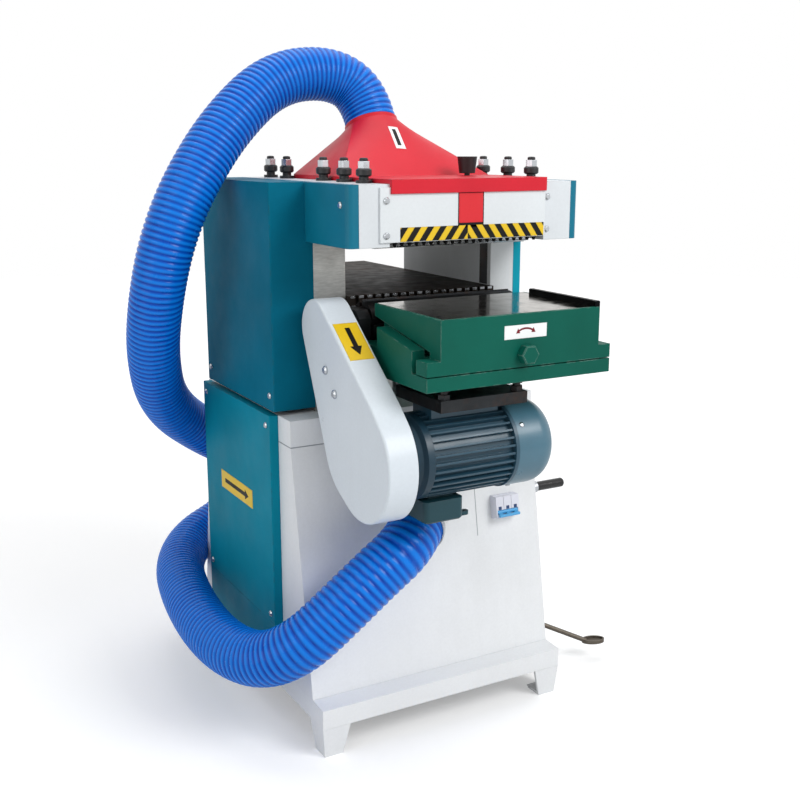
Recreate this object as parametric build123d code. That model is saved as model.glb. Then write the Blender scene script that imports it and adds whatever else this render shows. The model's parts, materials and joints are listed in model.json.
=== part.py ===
"""Double-sided planer: two cutterheads, roller feed, rising bed and a dust hose.

Millimetres. The origin is on the floor, at the centre of the four anchor holes.
+X is the operator's right at the infeed, +Y is the feed direction, +Z is up.
"""
import math
import os

from build123d import *

os.makedirs("parts", exist_ok=True)

# Feed line and clearances
FEED_X = 37.5            # centre of the feed, right of the base's centre
PASS_W = 374.0           # clear width between the columns
PASS_H = 119.0           # table top to head underside, at rest
RUN_GAP = 0.05           # radial clearance of a shaft in its bore
SLIDE_GAP = 0.5          # clearance of a sliding face
BELT_GAP = 0.3           # belt or chain to the wheel it runs on

# Base cabinet, skirt and feet
SHEET = 4.0
BASE_W = 619.0
BASE_TOP_D = 500.0
BASE_FOOT_D = 676.0
BASE_H = 600.0
BAND_H = 59.0            # upright band at the cabinet's top
SKIRT_D = 776.0
SKIRT_H = 47.0
SKIRT_FACE_H = 44.0
FOOT_H = 68.0
FOOT_TOP_W = 66.0
FOOT_LOW_W = 44.0
FOOT_SHEET = 6.0
FOOT_PAD_T = 8.0
ANCHOR_R = 7.0

# Columns
COLUMN_FRONT = -195.0
COLUMN_D = 407.0
COLUMN_H = 368.0
LEFT_COLUMN_W = 75.0
RIGHT_COLUMN_W = 63.0
COLUMN_WALL = 22.0

# Head casting
HEAD_H = 123.0
HEAD_OVERHANG = 200.0
LEFT_CHEEK = 68.0
RIGHT_CHEEK = 69.0
HEAD_WALL = 20.0
HEAD_BACK_WALL = 14.0
HEAD_ROOF = 18.0
FRONT_BEAM_H = 41.0
CHIP_MOUTH_D = 110.0

# Sheet covers
COVER_SHEET = 2.5
COVER_W = 98.0           # left column cover, outwards from its column
COVER_LIFT = 10.0        # gap under the column covers
RIGHT_COVER_W = 22.0
LEFT_END_COVER = 24.0
RIGHT_END_COVER = 21.0
END_COVER_ROUND = 12.0
LOWER_COVER_T = 20.0
LOWER_COVER_D = 419.0
LOWER_COVER_H = 481.0
LOWER_COVER_Y = 24.5
SCREW_R = 7.0
SCREW_H = 4.0
SCREW_INSET = 20.0

# Front guard
GUARD_PANEL_T = 4.0
GUARD_PANEL_H = 108.0
GUARD_PANEL_DROP = 6.0   # below the head's top
GUARD_PANEL_OVERLAP = 23.5  # over the left cheek

# Dust hood
HOOD_LIP_T = 8.0
HOOD_LIP_H = 28.0
HOOD_RIM_H = 9.0
HOOD_D = 462.0
HOOD_DECK = 215.0        # flat deck ahead of the sloping body
HOOD_SHEET = 2.5
OUTLET_Y = 35.0
OUTLET_RISE = 116.0      # outlet centre above the head's top
OUTLET_TILT = 25.0       # outlet axis, back from straight up
SOCKET_H = 8.0           # ring round the hose's end

# Cutterheads
UPPER_CUTTER_R = 47.5    # cutting circles
LOWER_CUTTER_R = 52.0
KNIFE_OUT = 3.0          # cutting circle outside the body
CUTTER_SIDE_GAP = 2.0
KNIVES = 4
KNIFE_T = 4.0
GIB_T = 11.0
GULLET = 13.0
SHAFT_R = 18.0
UPPER_CUTTER_Y = -35.0
UPPER_CUTTER_DROP = 8.5  # cutting circle below the head's underside
LOWER_CUTTER_Y = -273.0
BEARING_R = 36.0
BEARING_W = 26.0

# Feed rollers and their pressure adjusters
ROLLER_R = 33.0
ROLLER_DROP = 9.0
ROLLER_SHAFT_R = 14.0
ROLLER_FLUTES = 20
FLUTE_DEPTH = 3.0
INFEED_Y = (-320.0, -231.0)
OUTFEED_Y = (65.0, 160.0)
BREAKER_BAR_Y = -131.0
BLOCK_W = 44.0
BLOCK_H = 40.0
BLOCK_LIFT = 8.0
ADJUSTER_X = 205.0       # either side of the feed centre
ADJUSTER_R = 6.0
SLEEVE_R = 10.0
SLEEVE_H = 29.0
SLEEVE_FOOT_R = 16.5
SLEEVE_FOOT_T = 6.0
COLLAR_R = 16.0
COLLAR_T = 16.0
COLLAR_BEVEL = 3.0
ADJUSTER_NUT = 13.0
ADJUSTER_NUT_H = 14.0
ADJUSTER_TIP_R = 8.0
ADJUSTER_TIP_H = 5.0
KNOB_X = 102.5           # from the feed centre
KNOB_Y = -222.0
KNOB_R = 22.0
KNOB_H = 36.0
KNOB_STEM_H = 14.0

# Anti-kickback fingers
FINGERS = 21
FINGER_T = 6.0
FINGER_W = 14.0
FINGER_PITCH = 17.0
FINGER_SHAFT_R = 5.0
FINGER_SHAFT_IN = 15.0   # behind the head's front
FINGER_SHAFT_UP = 57.0   # above the head's underside
FINGER_REACH = 57.0

# Belts, chains and sprockets
BELT_T = 7.0
BELT_W = 28.0
UPPER_PULLEY_R = 38.0
UPPER_MOTOR_PULLEY_R = 85.0
LOWER_PULLEY_R = 42.0
LOWER_MOTOR_PULLEY_R = 88.0
UPPER_BELT_OUT = 65.0    # belt centre, left of the head casting
CHAIN_W = 8.0
CHAIN_T = 5.0
SPROCKET_R = 15.0
DRIVE_SPROCKET_R = 26.0
DRIVE_CHAIN_OUT = 37.0   # chain centre, left of the head casting
FEED_CHAIN_OUT = 10.0    # chain centre, right of the head casting

# Motors
MOTOR_R = 88.0
MOTOR_CORE_R = 77.0
MOTOR_FINS = 34
FIN_T = 4.5
MOTOR_L = 196.5
BELL_L = 50.0
FAN_COVER_L = 101.0
FAN_DOME = 44.0          # rounding of the fan cover's end
MOTOR_SHAFT_R = 14.0
MOTOR_FOOT = 103.0       # motor axis to the foot plane
MOTOR_FOOT_W = 72.0
LOWER_MOTOR_X = -141.0   # drive end of the finned frame
LOWER_MOTOR_Y = -476.0
LOWER_MOTOR_DROP = 289.0 # motor axis below the table top
UPPER_MOTOR_X = -212.0
UPPER_MOTOR_RISE = 103.0
SHELF_Z = 230.0
SHELF_T = 8.0
TERMINAL_W = 91.5
TERMINAL_D = 96.0
TERMINAL_H = 46.0
GEAR_MOTOR_Y = 120.0
GEAR_MOTOR_DROP = 150.0  # output axis below the cabinet's top
GEARBOX_W = 110.0
GEARBOX_D = 100.0
GEARBOX_H = 130.0
HANGER_INSET = 10.0

# Bed, bracket and tables
TABLE_T = 34.0
BED_BACK = 440.0
BED_RIB_T = 20.0
BED_RIB_IN = 60.0        # ribs' middles, inside the saddle's sides
BED_LIP = 63.0           # bed's front edge behind the lower cutter's axis
LIP_SLOTS = 17
LIP_SLOT_W = 9.0
LIP_SLOT_D = 9.0
LIP_CLEARANCE = 4.0      # lips to the cutting circle
SADDLE_BACK = 190.0
SADDLE_DROP = 136.0      # saddle underside below the table top
SADDLE_WALL = 24.0
BRACKET_W = 434.0
BRACKET_T = 58.0
BRACKET_EAR = -395.0     # back end of the flanks beside the infeed table
FLANK_GAP = 2.0
BRACKET_BACK = -205.0
SILL_H = 28.0            # bracket's low front part, under the apron
TROUGH_GAP = 4.0
INFEED_FRONT = -592.0
INFEED_BACK = -330.0
INFEED_TOP_T = 10.0
INFEED_RIM = 6.0         # casting round the steel top
APRON_D = 40.0           # infeed table's front wall
APRON_SEAM = 2.2         # gap under it
APRON_GAP = 16.0         # gap behind it
INFEED_SLOPE = 10.4      # degrees
WAY_INSET = 20.0
WAY_STEP = 4.0           # ways' low end above the bracket's top
GUIDE_W = 12.0
GUIDE_H = 12.0
GUIDE_L = 227.0
DEPTH_SCREW_X = 7.0      # from the feed centre
DEPTH_SCREW_DROP = 2.0   # below the bracket's top
DEPTH_SCREW_R = 7.0
DEPTH_SCREW_IN = 90.0
DEPTH_SCREW_PLAY = 4.0   # round it in the bracket
DEPTH_HEX = 20.5
DEPTH_HEX_L = 18.0
MOUNT_PLATE_T = 24.0
MOUNT_PLATE_W = 202.0
MOUNT_PLATE_D = 178.0
MOUNT_PLATE_IN = 9.5     # from the frame's drive end
MOUNT_STUD_R = 8.0
MOUNT_NUT = 13.0
MOUNT_NUT_H = 10.0
STUD_INSET = 16.0

# Belt guard on the lower drive
GUARD_W = 64.0
GUARD_OFF = 19.0         # off the bracket's side
GUARD_UPPER_R = 61.0
GUARD_LOWER_R = 121.0
GUARD_BULGE = (36.0, 25.0, 127.0)  # (y, z) from the motor's axis, and radius
GUARD_SHEET = 2.5
GUARD_ROUND = 5.0
GUARD_BOLT_R = 6.0
GUARD_BOLT_HEAD_R = 9.0
GUARD_BOLTS = ((-57.0, -77.0), (-98.0, -119.0))  # (y, z) from the cutter's axis

# Bed lift
LIFT_Y = -95.0
CRANK_Z = 460.0
LIFT_SCREW_R = 16.0
LIFT_SCREW_TOP = 49.0    # below the table top
LIFT_NUT_R = 36.0
LIFT_NUT_H = 40.0
BEVEL_R = 34.0
BEVEL_T = 14.0
CROSS_BAR_T = 12.0
CROSS_BAR_W = 90.0
CRANK_SHAFT_R = 12.0
CRANK_OUT = 35.0         # arm, off the cabinet's side
CRANK_ARM_T = 12.0
CRANK_THROW = 120.0
CRANK_HUB_R = 21.0
CRANK_TIP_R = 14.0
GRIP_R = 11.5
GRIP_L = 82.0
GRIP_PIN_R = 6.0

# Circuit breaker on the cabinet's front
BREAKER_X = 211.0
BREAKER_Z = 456.5
BREAKER_W = 64.0
BREAKER_H = 54.0
BREAKER_T = 12.0
NOSE_H = 50.0
NOSE_T = 12.0
POLES = 3
POLE_GROOVE = 1.0
TOGGLE_W = 56.0
TOGGLE_R = 5.0
TOGGLE_L = 16.0          # barrel's axis to the tie bar's outer face
TOGGLE_T = 3.0
TOGGLE_DROP = 12.0       # axis below the breaker's middle
TOGGLE_TILT = 35.0       # levers at rest, below square to the face
TIE_BAR = 6.0

# Foot lever on the cabinet's right side
PEDAL_Y = -215.0
PEDAL_Z = 142.0
PEDAL_PIN_R = 5.0
PEDAL_HUB_R = 11.0
PEDAL_HUB_L = 42.0
PEDAL_IN = 18.0          # pin, inside the cabinet's side
PEDAL_SLOT_H = 60.0
PEDAL_ROD_R = 6.0
PEDAL_PAD = (478.0, -284.0, 50.0)
PEDAL_PAD_L = 58.0
PEDAL_PAD_W = 34.0
PEDAL_PAD_T = 9.0

# Dust hose, its lower port and the clamp
HOSE_OD = 120.0
HOSE_BORE = 108.0
HOSE_RIB_H = 4.0
HOSE_RIBS = 110
NECK_GAP = 0.5
NECK_T = 2.0
NECK_L = 30.0
CLAMP_T = 2.5
CLAMP_W = 14.0
CLAMP_IN = 8.0
PORT_AT = (-56.0, -349.0, 478.0)
PORT_AIM = (0.66, 0.70, 0.28)
PORT_L = 175.0
TOP_LEAD = 79.6          # hose end to the route's first corner, at each end
PORT_LEAD = 75.0
# Corners of the route between the two leads, chosen by hand
HOSE_ROUTE = (
    (-38, 97, 1447), (-182, 92, 1430), (-310, 56, 1330), (-412, 20, 1206),
    (-472, 14, 1085), (-496, 42, 955), (-490, 115, 815), (-433, 240, 668),
    (-290, 362, 548), (-160, 415, 470), (-125, 425, 365), (-210, 430, 285),
    (-325, 398, 250), (-405, 275, 230), (-440, 100, 218), (-450, -70, 204),
    (-437, -200, 200), (-404, -302, 214), (-352, -374, 264), (-270, -396, 338),
    (-190, -402, 402),
)

# Places that follow from the sizes above
PASS_L = FEED_X - PASS_W / 2
PASS_R = FEED_X + PASS_W / 2
SKIRT_TOP = FOOT_H + SKIRT_H
BASE_TOP = SKIRT_TOP + BASE_H
BAND_LOW = BASE_TOP - BAND_H
COLUMN_BACK = COLUMN_FRONT + COLUMN_D
COLUMN_L = PASS_L - LEFT_COLUMN_W
COLUMN_R = PASS_R + RIGHT_COLUMN_W
HEAD_LOW = BASE_TOP + COLUMN_H
HEAD_TOP = HEAD_LOW + HEAD_H
HEAD_L = PASS_L - LEFT_CHEEK
HEAD_R = PASS_R + RIGHT_CHEEK
HEAD_FRONT = COLUMN_FRONT - HEAD_OVERHANG
COVER_L = COLUMN_L - COVER_W
COVER_LOW = BASE_TOP + COVER_LIFT
PANEL_TOP = HEAD_TOP - GUARD_PANEL_DROP
TABLE_Z = HEAD_LOW - PASS_H
LOWER_CUTTER_Z = TABLE_Z - LOWER_CUTTER_R
UPPER_CUTTER_Z = HEAD_LOW - UPPER_CUTTER_DROP + UPPER_CUTTER_R
ROLLER_Z = HEAD_LOW - ROLLER_DROP + ROLLER_R
ROLLER_Y = INFEED_Y + OUTFEED_Y
SLOT_TOP = ROLLER_Z + BLOCK_H / 2 + BLOCK_LIFT
SADDLE_LOW = TABLE_Z - SADDLE_DROP
BRACKET_TOP = SADDLE_LOW + BRACKET_T
BRACKET_L = FEED_X - BRACKET_W / 2
BRACKET_R = FEED_X + BRACKET_W / 2
INFEED_LOW = TABLE_Z - INFEED_TOP_T
APRON_BACK = INFEED_FRONT + APRON_D
WAY_FRONT = APRON_BACK + APRON_GAP
APRON_LOW = SADDLE_LOW + SILL_H + APRON_SEAM
GUARD_R_X = BRACKET_L - GUARD_OFF
GUARD_L_X = GUARD_R_X - GUARD_W
LOWER_BELT_X = GUARD_L_X + GUARD_W / 2
LOWER_MOTOR_Z = TABLE_Z - LOWER_MOTOR_DROP
MOUNT_Z = LOWER_MOTOR_Z + MOTOR_FOOT
UPPER_MOTOR_Z = SHELF_Z + UPPER_MOTOR_RISE
UPPER_BELT_X = HEAD_L - UPPER_BELT_OUT
DRIVE_CHAIN_X = HEAD_L - DRIVE_CHAIN_OUT
FEED_CHAIN_X = HEAD_R + FEED_CHAIN_OUT
GEAR_MOTOR_Z = BASE_TOP - GEAR_MOTOR_DROP
FINGER_Y = HEAD_FRONT + FINGER_SHAFT_IN
FINGER_Z = HEAD_LOW + FINGER_SHAFT_UP
CRANK_X = BASE_W / 2 + CRANK_OUT
FRONT_SLOPE = (BASE_FOOT_D - BASE_TOP_D) / 2 / (BAND_LOW - SKIRT_TOP)


def block(x, y, z):
    """Box between three (low, high) pairs."""
    middle = [(low + high) / 2 for low, high in (x, y, z)]
    return Pos(*middle) * Box(x[1] - x[0], y[1] - y[0], z[1] - z[0])


def about(middle, width):
    """(low, high) pair of a width about its middle."""
    return middle - width / 2, middle + width / 2


def rod_x(radius, x, y, z):
    return Pos(sum(x) / 2, y, z) * Rot(0, 90, 0) * Cylinder(radius, x[1] - x[0])


def rod_y(radius, x, y, z):
    return Pos(x, sum(y) / 2, z) * Rot(90, 0, 0) * Cylinder(radius, y[1] - y[0])


def rod_z(radius, x, y, z):
    return Pos(x, y, sum(z) / 2) * Cylinder(radius, z[1] - z[0])


def hex_z(radius, x, y, z):
    """Upright hexagonal prism, with radius to its corners."""
    return extrude(Pos(x, y, z[0]) * RegularPolygon(radius, 6), z[1] - z[0])


def across(x, y=0.0, z=0.0):
    """Plane square to X, whose own X and Y are the machine's Y and Z."""
    return Plane(origin=(x, y, z), x_dir=(0, 1, 0), z_dir=(1, 0, 0))


def prism_x(points, x):
    """Solid with a (y, z) outline between two x values."""
    return extrude(across(x[0]) * Polygon(*points, align=None), x[1] - x[0], dir=(1, 0, 0))


def hull_x(circles, x):
    """Solid between two x values round (y, z, radius) circles."""
    edges = [edge for y, z, radius in circles for edge in (Pos(y, z) * Circle(radius)).edges()]
    return extrude(across(x[0]) * make_hull(edges), x[1] - x[0])


def group(solids):
    return Compound(list(solids))


# Base cabinet, skirt and feet
def base_outline(inset, top):
    foot = BASE_FOOT_D / 2 - inset
    upper = BASE_TOP_D / 2 - inset
    return [(-foot, SKIRT_TOP), (foot, SKIRT_TOP), (upper, BAND_LOW),
            (upper, top), (-upper, top), (-upper, BAND_LOW)]


def base_block():
    return prism_x(base_outline(0, BASE_TOP), about(0, BASE_W))


def base_front(z):
    """y of the cabinet's sloping front at a height."""
    return -(BASE_TOP_D / 2 + FRONT_SLOPE * (BAND_LOW - z))


def pedal_pin_x():
    return BASE_W / 2 - SHEET - PEDAL_IN


def pedal_ears():
    """Two welded ears with a pin, inside the cabinet's right side."""
    ear_y = PEDAL_HUB_L / 2 + SLIDE_GAP
    reach = (pedal_pin_x() - PEDAL_HUB_R, BASE_W / 2 - SHEET)
    height = about(PEDAL_Z, 2 * PEDAL_HUB_R)
    ears = rod_y(PEDAL_PIN_R, pedal_pin_x(), about(PEDAL_Y, 2 * ear_y + SHEET), PEDAL_Z)
    for side in (-1, 1):
        ears += block(reach, about(PEDAL_Y + side * (ear_y + SHEET / 2), SHEET), height)
    return ears


def base_cabinet():
    inner = prism_x(base_outline(SHEET, BASE_TOP - SHEET), about(0, BASE_W - 2 * SHEET))
    cabinet = base_block() - inner
    right = (BASE_W / 2 - 2 * SHEET, BASE_W / 2 + SHEET)
    drive_x = (UPPER_BELT_X - BELT_W / 2 - SHEET, DRIVE_CHAIN_X + CHAIN_W + SHEET)
    drive_y = (UPPER_CUTTER_Y - UPPER_MOTOR_PULLEY_R, OUTFEED_Y[1] + DRIVE_SPROCKET_R)
    cabinet -= block(drive_x, drive_y, (BASE_TOP - 2 * SHEET, BASE_TOP + SHEET))
    cabinet -= rod_z(LIFT_SCREW_R + SHEET, FEED_X, LIFT_Y, (BASE_TOP - 2 * SHEET, BASE_TOP + SHEET))
    access_y = about(LOWER_COVER_Y, LOWER_COVER_D - 4 * SCREW_INSET)
    access_z = (BASE_TOP - LOWER_COVER_H + 2 * SCREW_INSET, BASE_TOP - 2 * SCREW_INSET)
    cabinet -= block((-BASE_W / 2 - SHEET, SHEET - BASE_W / 2 + SHEET), access_y, access_z)
    cabinet -= rod_x(CRANK_SHAFT_R + RUN_GAP, right, LIFT_Y, CRANK_Z)
    slot_y = about(PEDAL_Y - PEDAL_IN / 2, 6 * PEDAL_ROD_R)
    cabinet -= block(right, slot_y, about(PEDAL_Z - PEDAL_IN, PEDAL_SLOT_H))
    cabinet -= port_tube(HOSE_BORE / 2 - NECK_GAP - NECK_T)
    return cabinet + pedal_ears()


def skirt_outline(inset):
    foot = SKIRT_D / 2 - inset
    rim = BASE_FOOT_D / 2 - inset
    face = FOOT_H + SKIRT_FACE_H - inset
    top = SKIRT_TOP - inset
    return [(-foot, FOOT_H), (foot, FOOT_H), (foot, face), (rim, top), (-rim, top), (-foot, face)]


def skirt():
    inside = about(0, BASE_W - 2 * SHEET)
    hollow = prism_x(skirt_outline(SHEET), inside)
    hollow += block(inside, about(0, BASE_FOOT_D - 2 * SHEET), (FOOT_H, SKIRT_TOP))
    return prism_x(skirt_outline(0), about(0, BASE_W)) - hollow


def foot(side, end):
    """Bent-sheet corner foot with a drilled pad, narrower at the floor."""
    corner_x = side * BASE_W / 2
    corner_y = end * SKIRT_D / 2

    def level(width, shift, z):
        middle = (corner_x - side * (shift + width / 2), corner_y - end * (shift + width / 2))
        return Pos(*middle, z) * Rectangle(width, width)

    taper = (FOOT_TOP_W - FOOT_LOW_W) / 4
    outside = loft([level(FOOT_TOP_W, 0, FOOT_H), level(FOOT_LOW_W, taper, 0)])
    inside = loft([level(FOOT_TOP_W, FOOT_SHEET, FOOT_H),
                   level(FOOT_TOP_W, FOOT_SHEET + taper, FOOT_PAD_T)])
    anchor = rod_z(ANCHOR_R, side * anchor_x(), end * anchor_y(), (0, FOOT_PAD_T))
    return outside - inside - anchor


def anchor_x():
    return BASE_W / 2 - (FOOT_TOP_W - FOOT_LOW_W) / 4 - FOOT_LOW_W / 2 - FOOT_SHEET / 2


def anchor_y():
    return anchor_x() + (SKIRT_D - BASE_W) / 2


def feet():
    return group(foot(side, end) for side in (-1, 1) for end in (-1, 1))


# Columns and head
def column(inner_x, outer_x):
    """Casting with a pocket in its outer side."""
    y = (COLUMN_FRONT, COLUMN_BACK)
    outward = 1 if outer_x > inner_x else -1
    solid = block(sorted((inner_x, outer_x)), y, (BASE_TOP, HEAD_LOW))
    pocket_x = sorted((inner_x + outward * COLUMN_WALL, outer_x))
    pocket_y = (COLUMN_FRONT + COLUMN_WALL, COLUMN_BACK - COLUMN_WALL)
    return solid - block(pocket_x, pocket_y, (BASE_TOP + COLUMN_WALL, HEAD_LOW - COLUMN_WALL))


def adjuster_places():
    for side in (-1, 1):
        for y in ROLLER_Y + (BREAKER_BAR_Y,):
            yield FEED_X + side * ADJUSTER_X, y


def head_casting():
    x = (HEAD_L, HEAD_R)
    inside_x = (PASS_L, PASS_R)
    head = block(x, (HEAD_FRONT, COLUMN_BACK), (HEAD_LOW, HEAD_TOP))
    front = HEAD_FRONT + HEAD_WALL
    head -= block(inside_x, (front, COLUMN_BACK - HEAD_BACK_WALL), (HEAD_LOW, HEAD_TOP - HEAD_ROOF))
    head -= block(inside_x, (HEAD_FRONT, front), (HEAD_LOW, HEAD_TOP - FRONT_BEAM_H))
    mouth_x = (PASS_L + HEAD_WALL, PASS_R - HEAD_WALL)
    head -= block(mouth_x, about(UPPER_CUTTER_Y, CHIP_MOUTH_D), (HEAD_TOP - HEAD_ROOF, HEAD_TOP))
    for y in ROLLER_Y + (BREAKER_BAR_Y,):
        head -= block(x, about(y, BLOCK_W), (HEAD_LOW, SLOT_TOP))
    for adjuster_x, y in adjuster_places():
        head -= rod_z(ADJUSTER_R + RUN_GAP, adjuster_x, y, (SLOT_TOP, HEAD_TOP))
    head -= rod_x(BEARING_R, x, UPPER_CUTTER_Y, UPPER_CUTTER_Z)
    head -= rod_x(FINGER_SHAFT_R, (HEAD_L + HEAD_WALL, HEAD_R - HEAD_WALL), FINGER_Y, FINGER_Z)
    knob_z = (HEAD_TOP - HEAD_ROOF, HEAD_TOP)
    return head - rod_z(ADJUSTER_R + RUN_GAP, FEED_X + KNOB_X, KNOB_Y, knob_z)


# Sheet covers
def pan(x, y, z, open_side):
    """Shallow sheet cover, open towards -1 or +1 in X, with its front edge rounded."""
    rounded = fillet_front(block(x, y, z), x[0] if open_side > 0 else x[1])
    inner_x = (x[0] + COVER_SHEET, x[1]) if open_side > 0 else (x[0], x[1] - COVER_SHEET)
    inner_y = (y[0] + COVER_SHEET, y[1] - COVER_SHEET)
    inner_z = (z[0] + COVER_SHEET, z[1] - COVER_SHEET)
    return rounded - block(inner_x, inner_y, inner_z)


def fillet_front(solid, x):
    """Round the upright front edge that lies at x."""
    edges = solid.edges().filter_by(Axis.Z).group_by(Axis.Y)[0]
    return fillet(edges.sort_by(lambda edge: abs(edge.center().X - x))[0], COVER_SHEET)


def left_column_cover():
    y = (COLUMN_FRONT, COLUMN_BACK)
    cover = block((COVER_L, HEAD_L), y, (COVER_LOW, HEAD_TOP))
    cover = fillet_front(cover, COVER_L)
    inner_y = (y[0] + COVER_SHEET, y[1] - COVER_SHEET)
    cover -= block((COVER_L + COVER_SHEET, HEAD_L), inner_y, (COVER_LOW, HEAD_TOP - COVER_SHEET))
    return cover - block((COLUMN_L, HEAD_L), y, (COVER_LOW, HEAD_LOW))


def right_column_cover():
    x = (COLUMN_R, COLUMN_R + RIGHT_COVER_W)
    return pan(x, (COLUMN_FRONT, COLUMN_BACK), (COVER_LOW, HEAD_LOW), -1)


def end_cover(x, back, open_side):
    """Head end cover with a boldly rounded front edge."""
    y = (HEAD_FRONT, back)
    z = (HEAD_LOW, HEAD_TOP)
    cover = block(x, y, z)
    outer_x = x[0] if open_side > 0 else x[1]
    edges = cover.edges().filter_by(Axis.Z).group_by(Axis.Y)[0]
    cover = fillet(edges.sort_by(lambda edge: abs(edge.center().X - outer_x))[0], END_COVER_ROUND)
    inner_x = (x[0] + COVER_SHEET, x[1]) if open_side > 0 else (x[0], x[1] - COVER_SHEET)
    inner_y = (y[0] + END_COVER_ROUND, y[1] - COVER_SHEET)
    return cover - block(inner_x, inner_y, (z[0] + COVER_SHEET, z[1] - COVER_SHEET))


def head_end_covers():
    left = end_cover((HEAD_L - LEFT_END_COVER, HEAD_L), COLUMN_FRONT, 1)
    right = end_cover((HEAD_R, HEAD_R + RIGHT_END_COVER), COLUMN_BACK, -1)
    return group([left, right])


def lower_side_cover():
    x = (-BASE_W / 2 - LOWER_COVER_T, -BASE_W / 2)
    return pan(x, about(LOWER_COVER_Y, LOWER_COVER_D), (BASE_TOP - LOWER_COVER_H, BASE_TOP), 1)


def panel_x():
    return PASS_L - GUARD_PANEL_OVERLAP, PASS_R


def front_guard_panel():
    y = (HEAD_FRONT - GUARD_PANEL_T, HEAD_FRONT)
    return block(panel_x(), y, (PANEL_TOP - GUARD_PANEL_H, PANEL_TOP))


def screw_head(place, outward):
    """Domed screw head on a face, with the face's outward direction."""
    dome = Cylinder(SCREW_R, SCREW_H, align=(Align.CENTER, Align.CENTER, Align.MIN))
    dome = chamfer(dome.edges().group_by(Axis.Z)[-1], SCREW_H * 0.6)
    return Plane(origin=place, z_dir=outward) * dome


def cover_screws():
    left = (-1, 0, 0)
    screws = []
    for y in (COLUMN_FRONT + SCREW_INSET, COLUMN_BACK - SCREW_INSET):
        screws.append(screw_head((COVER_L, y, COVER_LOW + 1.6 * SCREW_INSET), left))
    low_y = about(LOWER_COVER_Y, LOWER_COVER_D - 2 * SCREW_INSET)
    low_z = (BASE_TOP - LOWER_COVER_H + SCREW_INSET, BASE_TOP - 1.2 * SCREW_INSET)
    for y in low_y:
        for z in low_z:
            screws.append(screw_head((-BASE_W / 2 - LOWER_COVER_T, y, z), left))
    end_y = HEAD_FRONT + END_COVER_ROUND + SCREW_INSET
    end_z = HEAD_TOP - 2 * SCREW_INSET
    screws.append(screw_head((HEAD_L - LEFT_END_COVER, end_y, end_z), left))
    screws.append(screw_head((HEAD_R + RIGHT_END_COVER, end_y, end_z), (1, 0, 0)))
    low, high = panel_x()
    for z in (PANEL_TOP - 1.3 * SCREW_INSET, PANEL_TOP - GUARD_PANEL_H + 0.7 * SCREW_INSET):
        screws.append(screw_head((low + 2 * SCREW_R, HEAD_FRONT - GUARD_PANEL_T, z), (0, -1, 0)))
        screws.append(screw_head((high + SCREW_R + SLIDE_GAP, HEAD_FRONT, z), (0, -1, 0)))
    return group(screws)


# Dust hood
def outlet_plane():
    tilt = math.radians(OUTLET_TILT)
    centre = (FEED_X, OUTLET_Y, HEAD_TOP + OUTLET_RISE)
    return Plane(origin=centre, x_dir=(1, 0, 0), z_dir=(0, math.sin(tilt), math.cos(tilt)))


def hood_y():
    """(front, back) of the sloping body."""
    return HEAD_FRONT + HOOD_DECK, HEAD_FRONT + HOOD_D


def socket_r():
    return HOSE_OD / 2 + NECK_GAP + NECK_T


def hood_loft(inset):
    """Square-to-round body, from the rim on the head to the tilted outlet."""
    front, back = hood_y()
    rim = Rectangle(PASS_W - 2 * inset, back - front - 2 * inset)
    outlet = outlet_plane() * Circle(socket_r() - inset)
    return loft([Pos(FEED_X, (front + back) / 2, HEAD_TOP + HOOD_RIM_H) * rim, outlet])


def tube(plane, outer, inner, low, high):
    """Round tube along a plane's normal, between two distances from it."""
    ring = Circle(outer) - Circle(inner)
    return extrude(plane.offset(low) * ring, high - low)


def dust_hood():
    """Sloping body behind a flat deck, with a lip over the head's front and a socket for the hose."""
    front, back = hood_y()
    rim_z = (HEAD_TOP, HEAD_TOP + HOOD_RIM_H)
    deck = block(about(FEED_X, PASS_W), (HEAD_FRONT, back), rim_z)
    inside = about(FEED_X, PASS_W - 2 * HOOD_SHEET)
    deck -= block(inside, (front + HOOD_SHEET, back - HOOD_SHEET), rim_z)
    deck -= rod_z(ADJUSTER_R + RUN_GAP, FEED_X + KNOB_X, KNOB_Y, rim_z)
    lip_y = HEAD_FRONT - HOOD_LIP_T
    lip = block(about(FEED_X, PASS_W), (lip_y, HEAD_FRONT), (PANEL_TOP, rim_z[1]))
    apron_z = (rim_z[1] - HOOD_LIP_H, PANEL_TOP)
    lip += block(about(FEED_X, PASS_W), (lip_y, HEAD_FRONT - GUARD_PANEL_T), apron_z)
    neck_r = HOSE_BORE / 2 - NECK_GAP
    neck = tube(outlet_plane(), neck_r, neck_r - NECK_T, -HOOD_SHEET, NECK_L)
    shoulder = tube(outlet_plane(), socket_r(), neck_r - NECK_T, -HOOD_SHEET, 0)
    socket = tube(outlet_plane(), socket_r(), socket_r() - NECK_T, -HOOD_SHEET, SOCKET_H)
    shell = hood_loft(0) - hood_loft(HOOD_SHEET)
    return shell + deck + lip + shoulder + neck + socket


# Feed rollers, cutterheads and what holds them
def fluted_bar(radius, flutes, depth, x, y, z):
    """Round bar with saw-cut flutes along its length."""
    profile = Circle(radius)
    notch = Pos(radius, 0) * Rectangle(2 * depth, radius * math.pi / flutes)
    for turn in range(flutes):
        profile -= Rot(0, 0, 360 / flutes * turn) * notch
    return extrude(across(x[0], y, z) * profile, x[1] - x[0])


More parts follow.
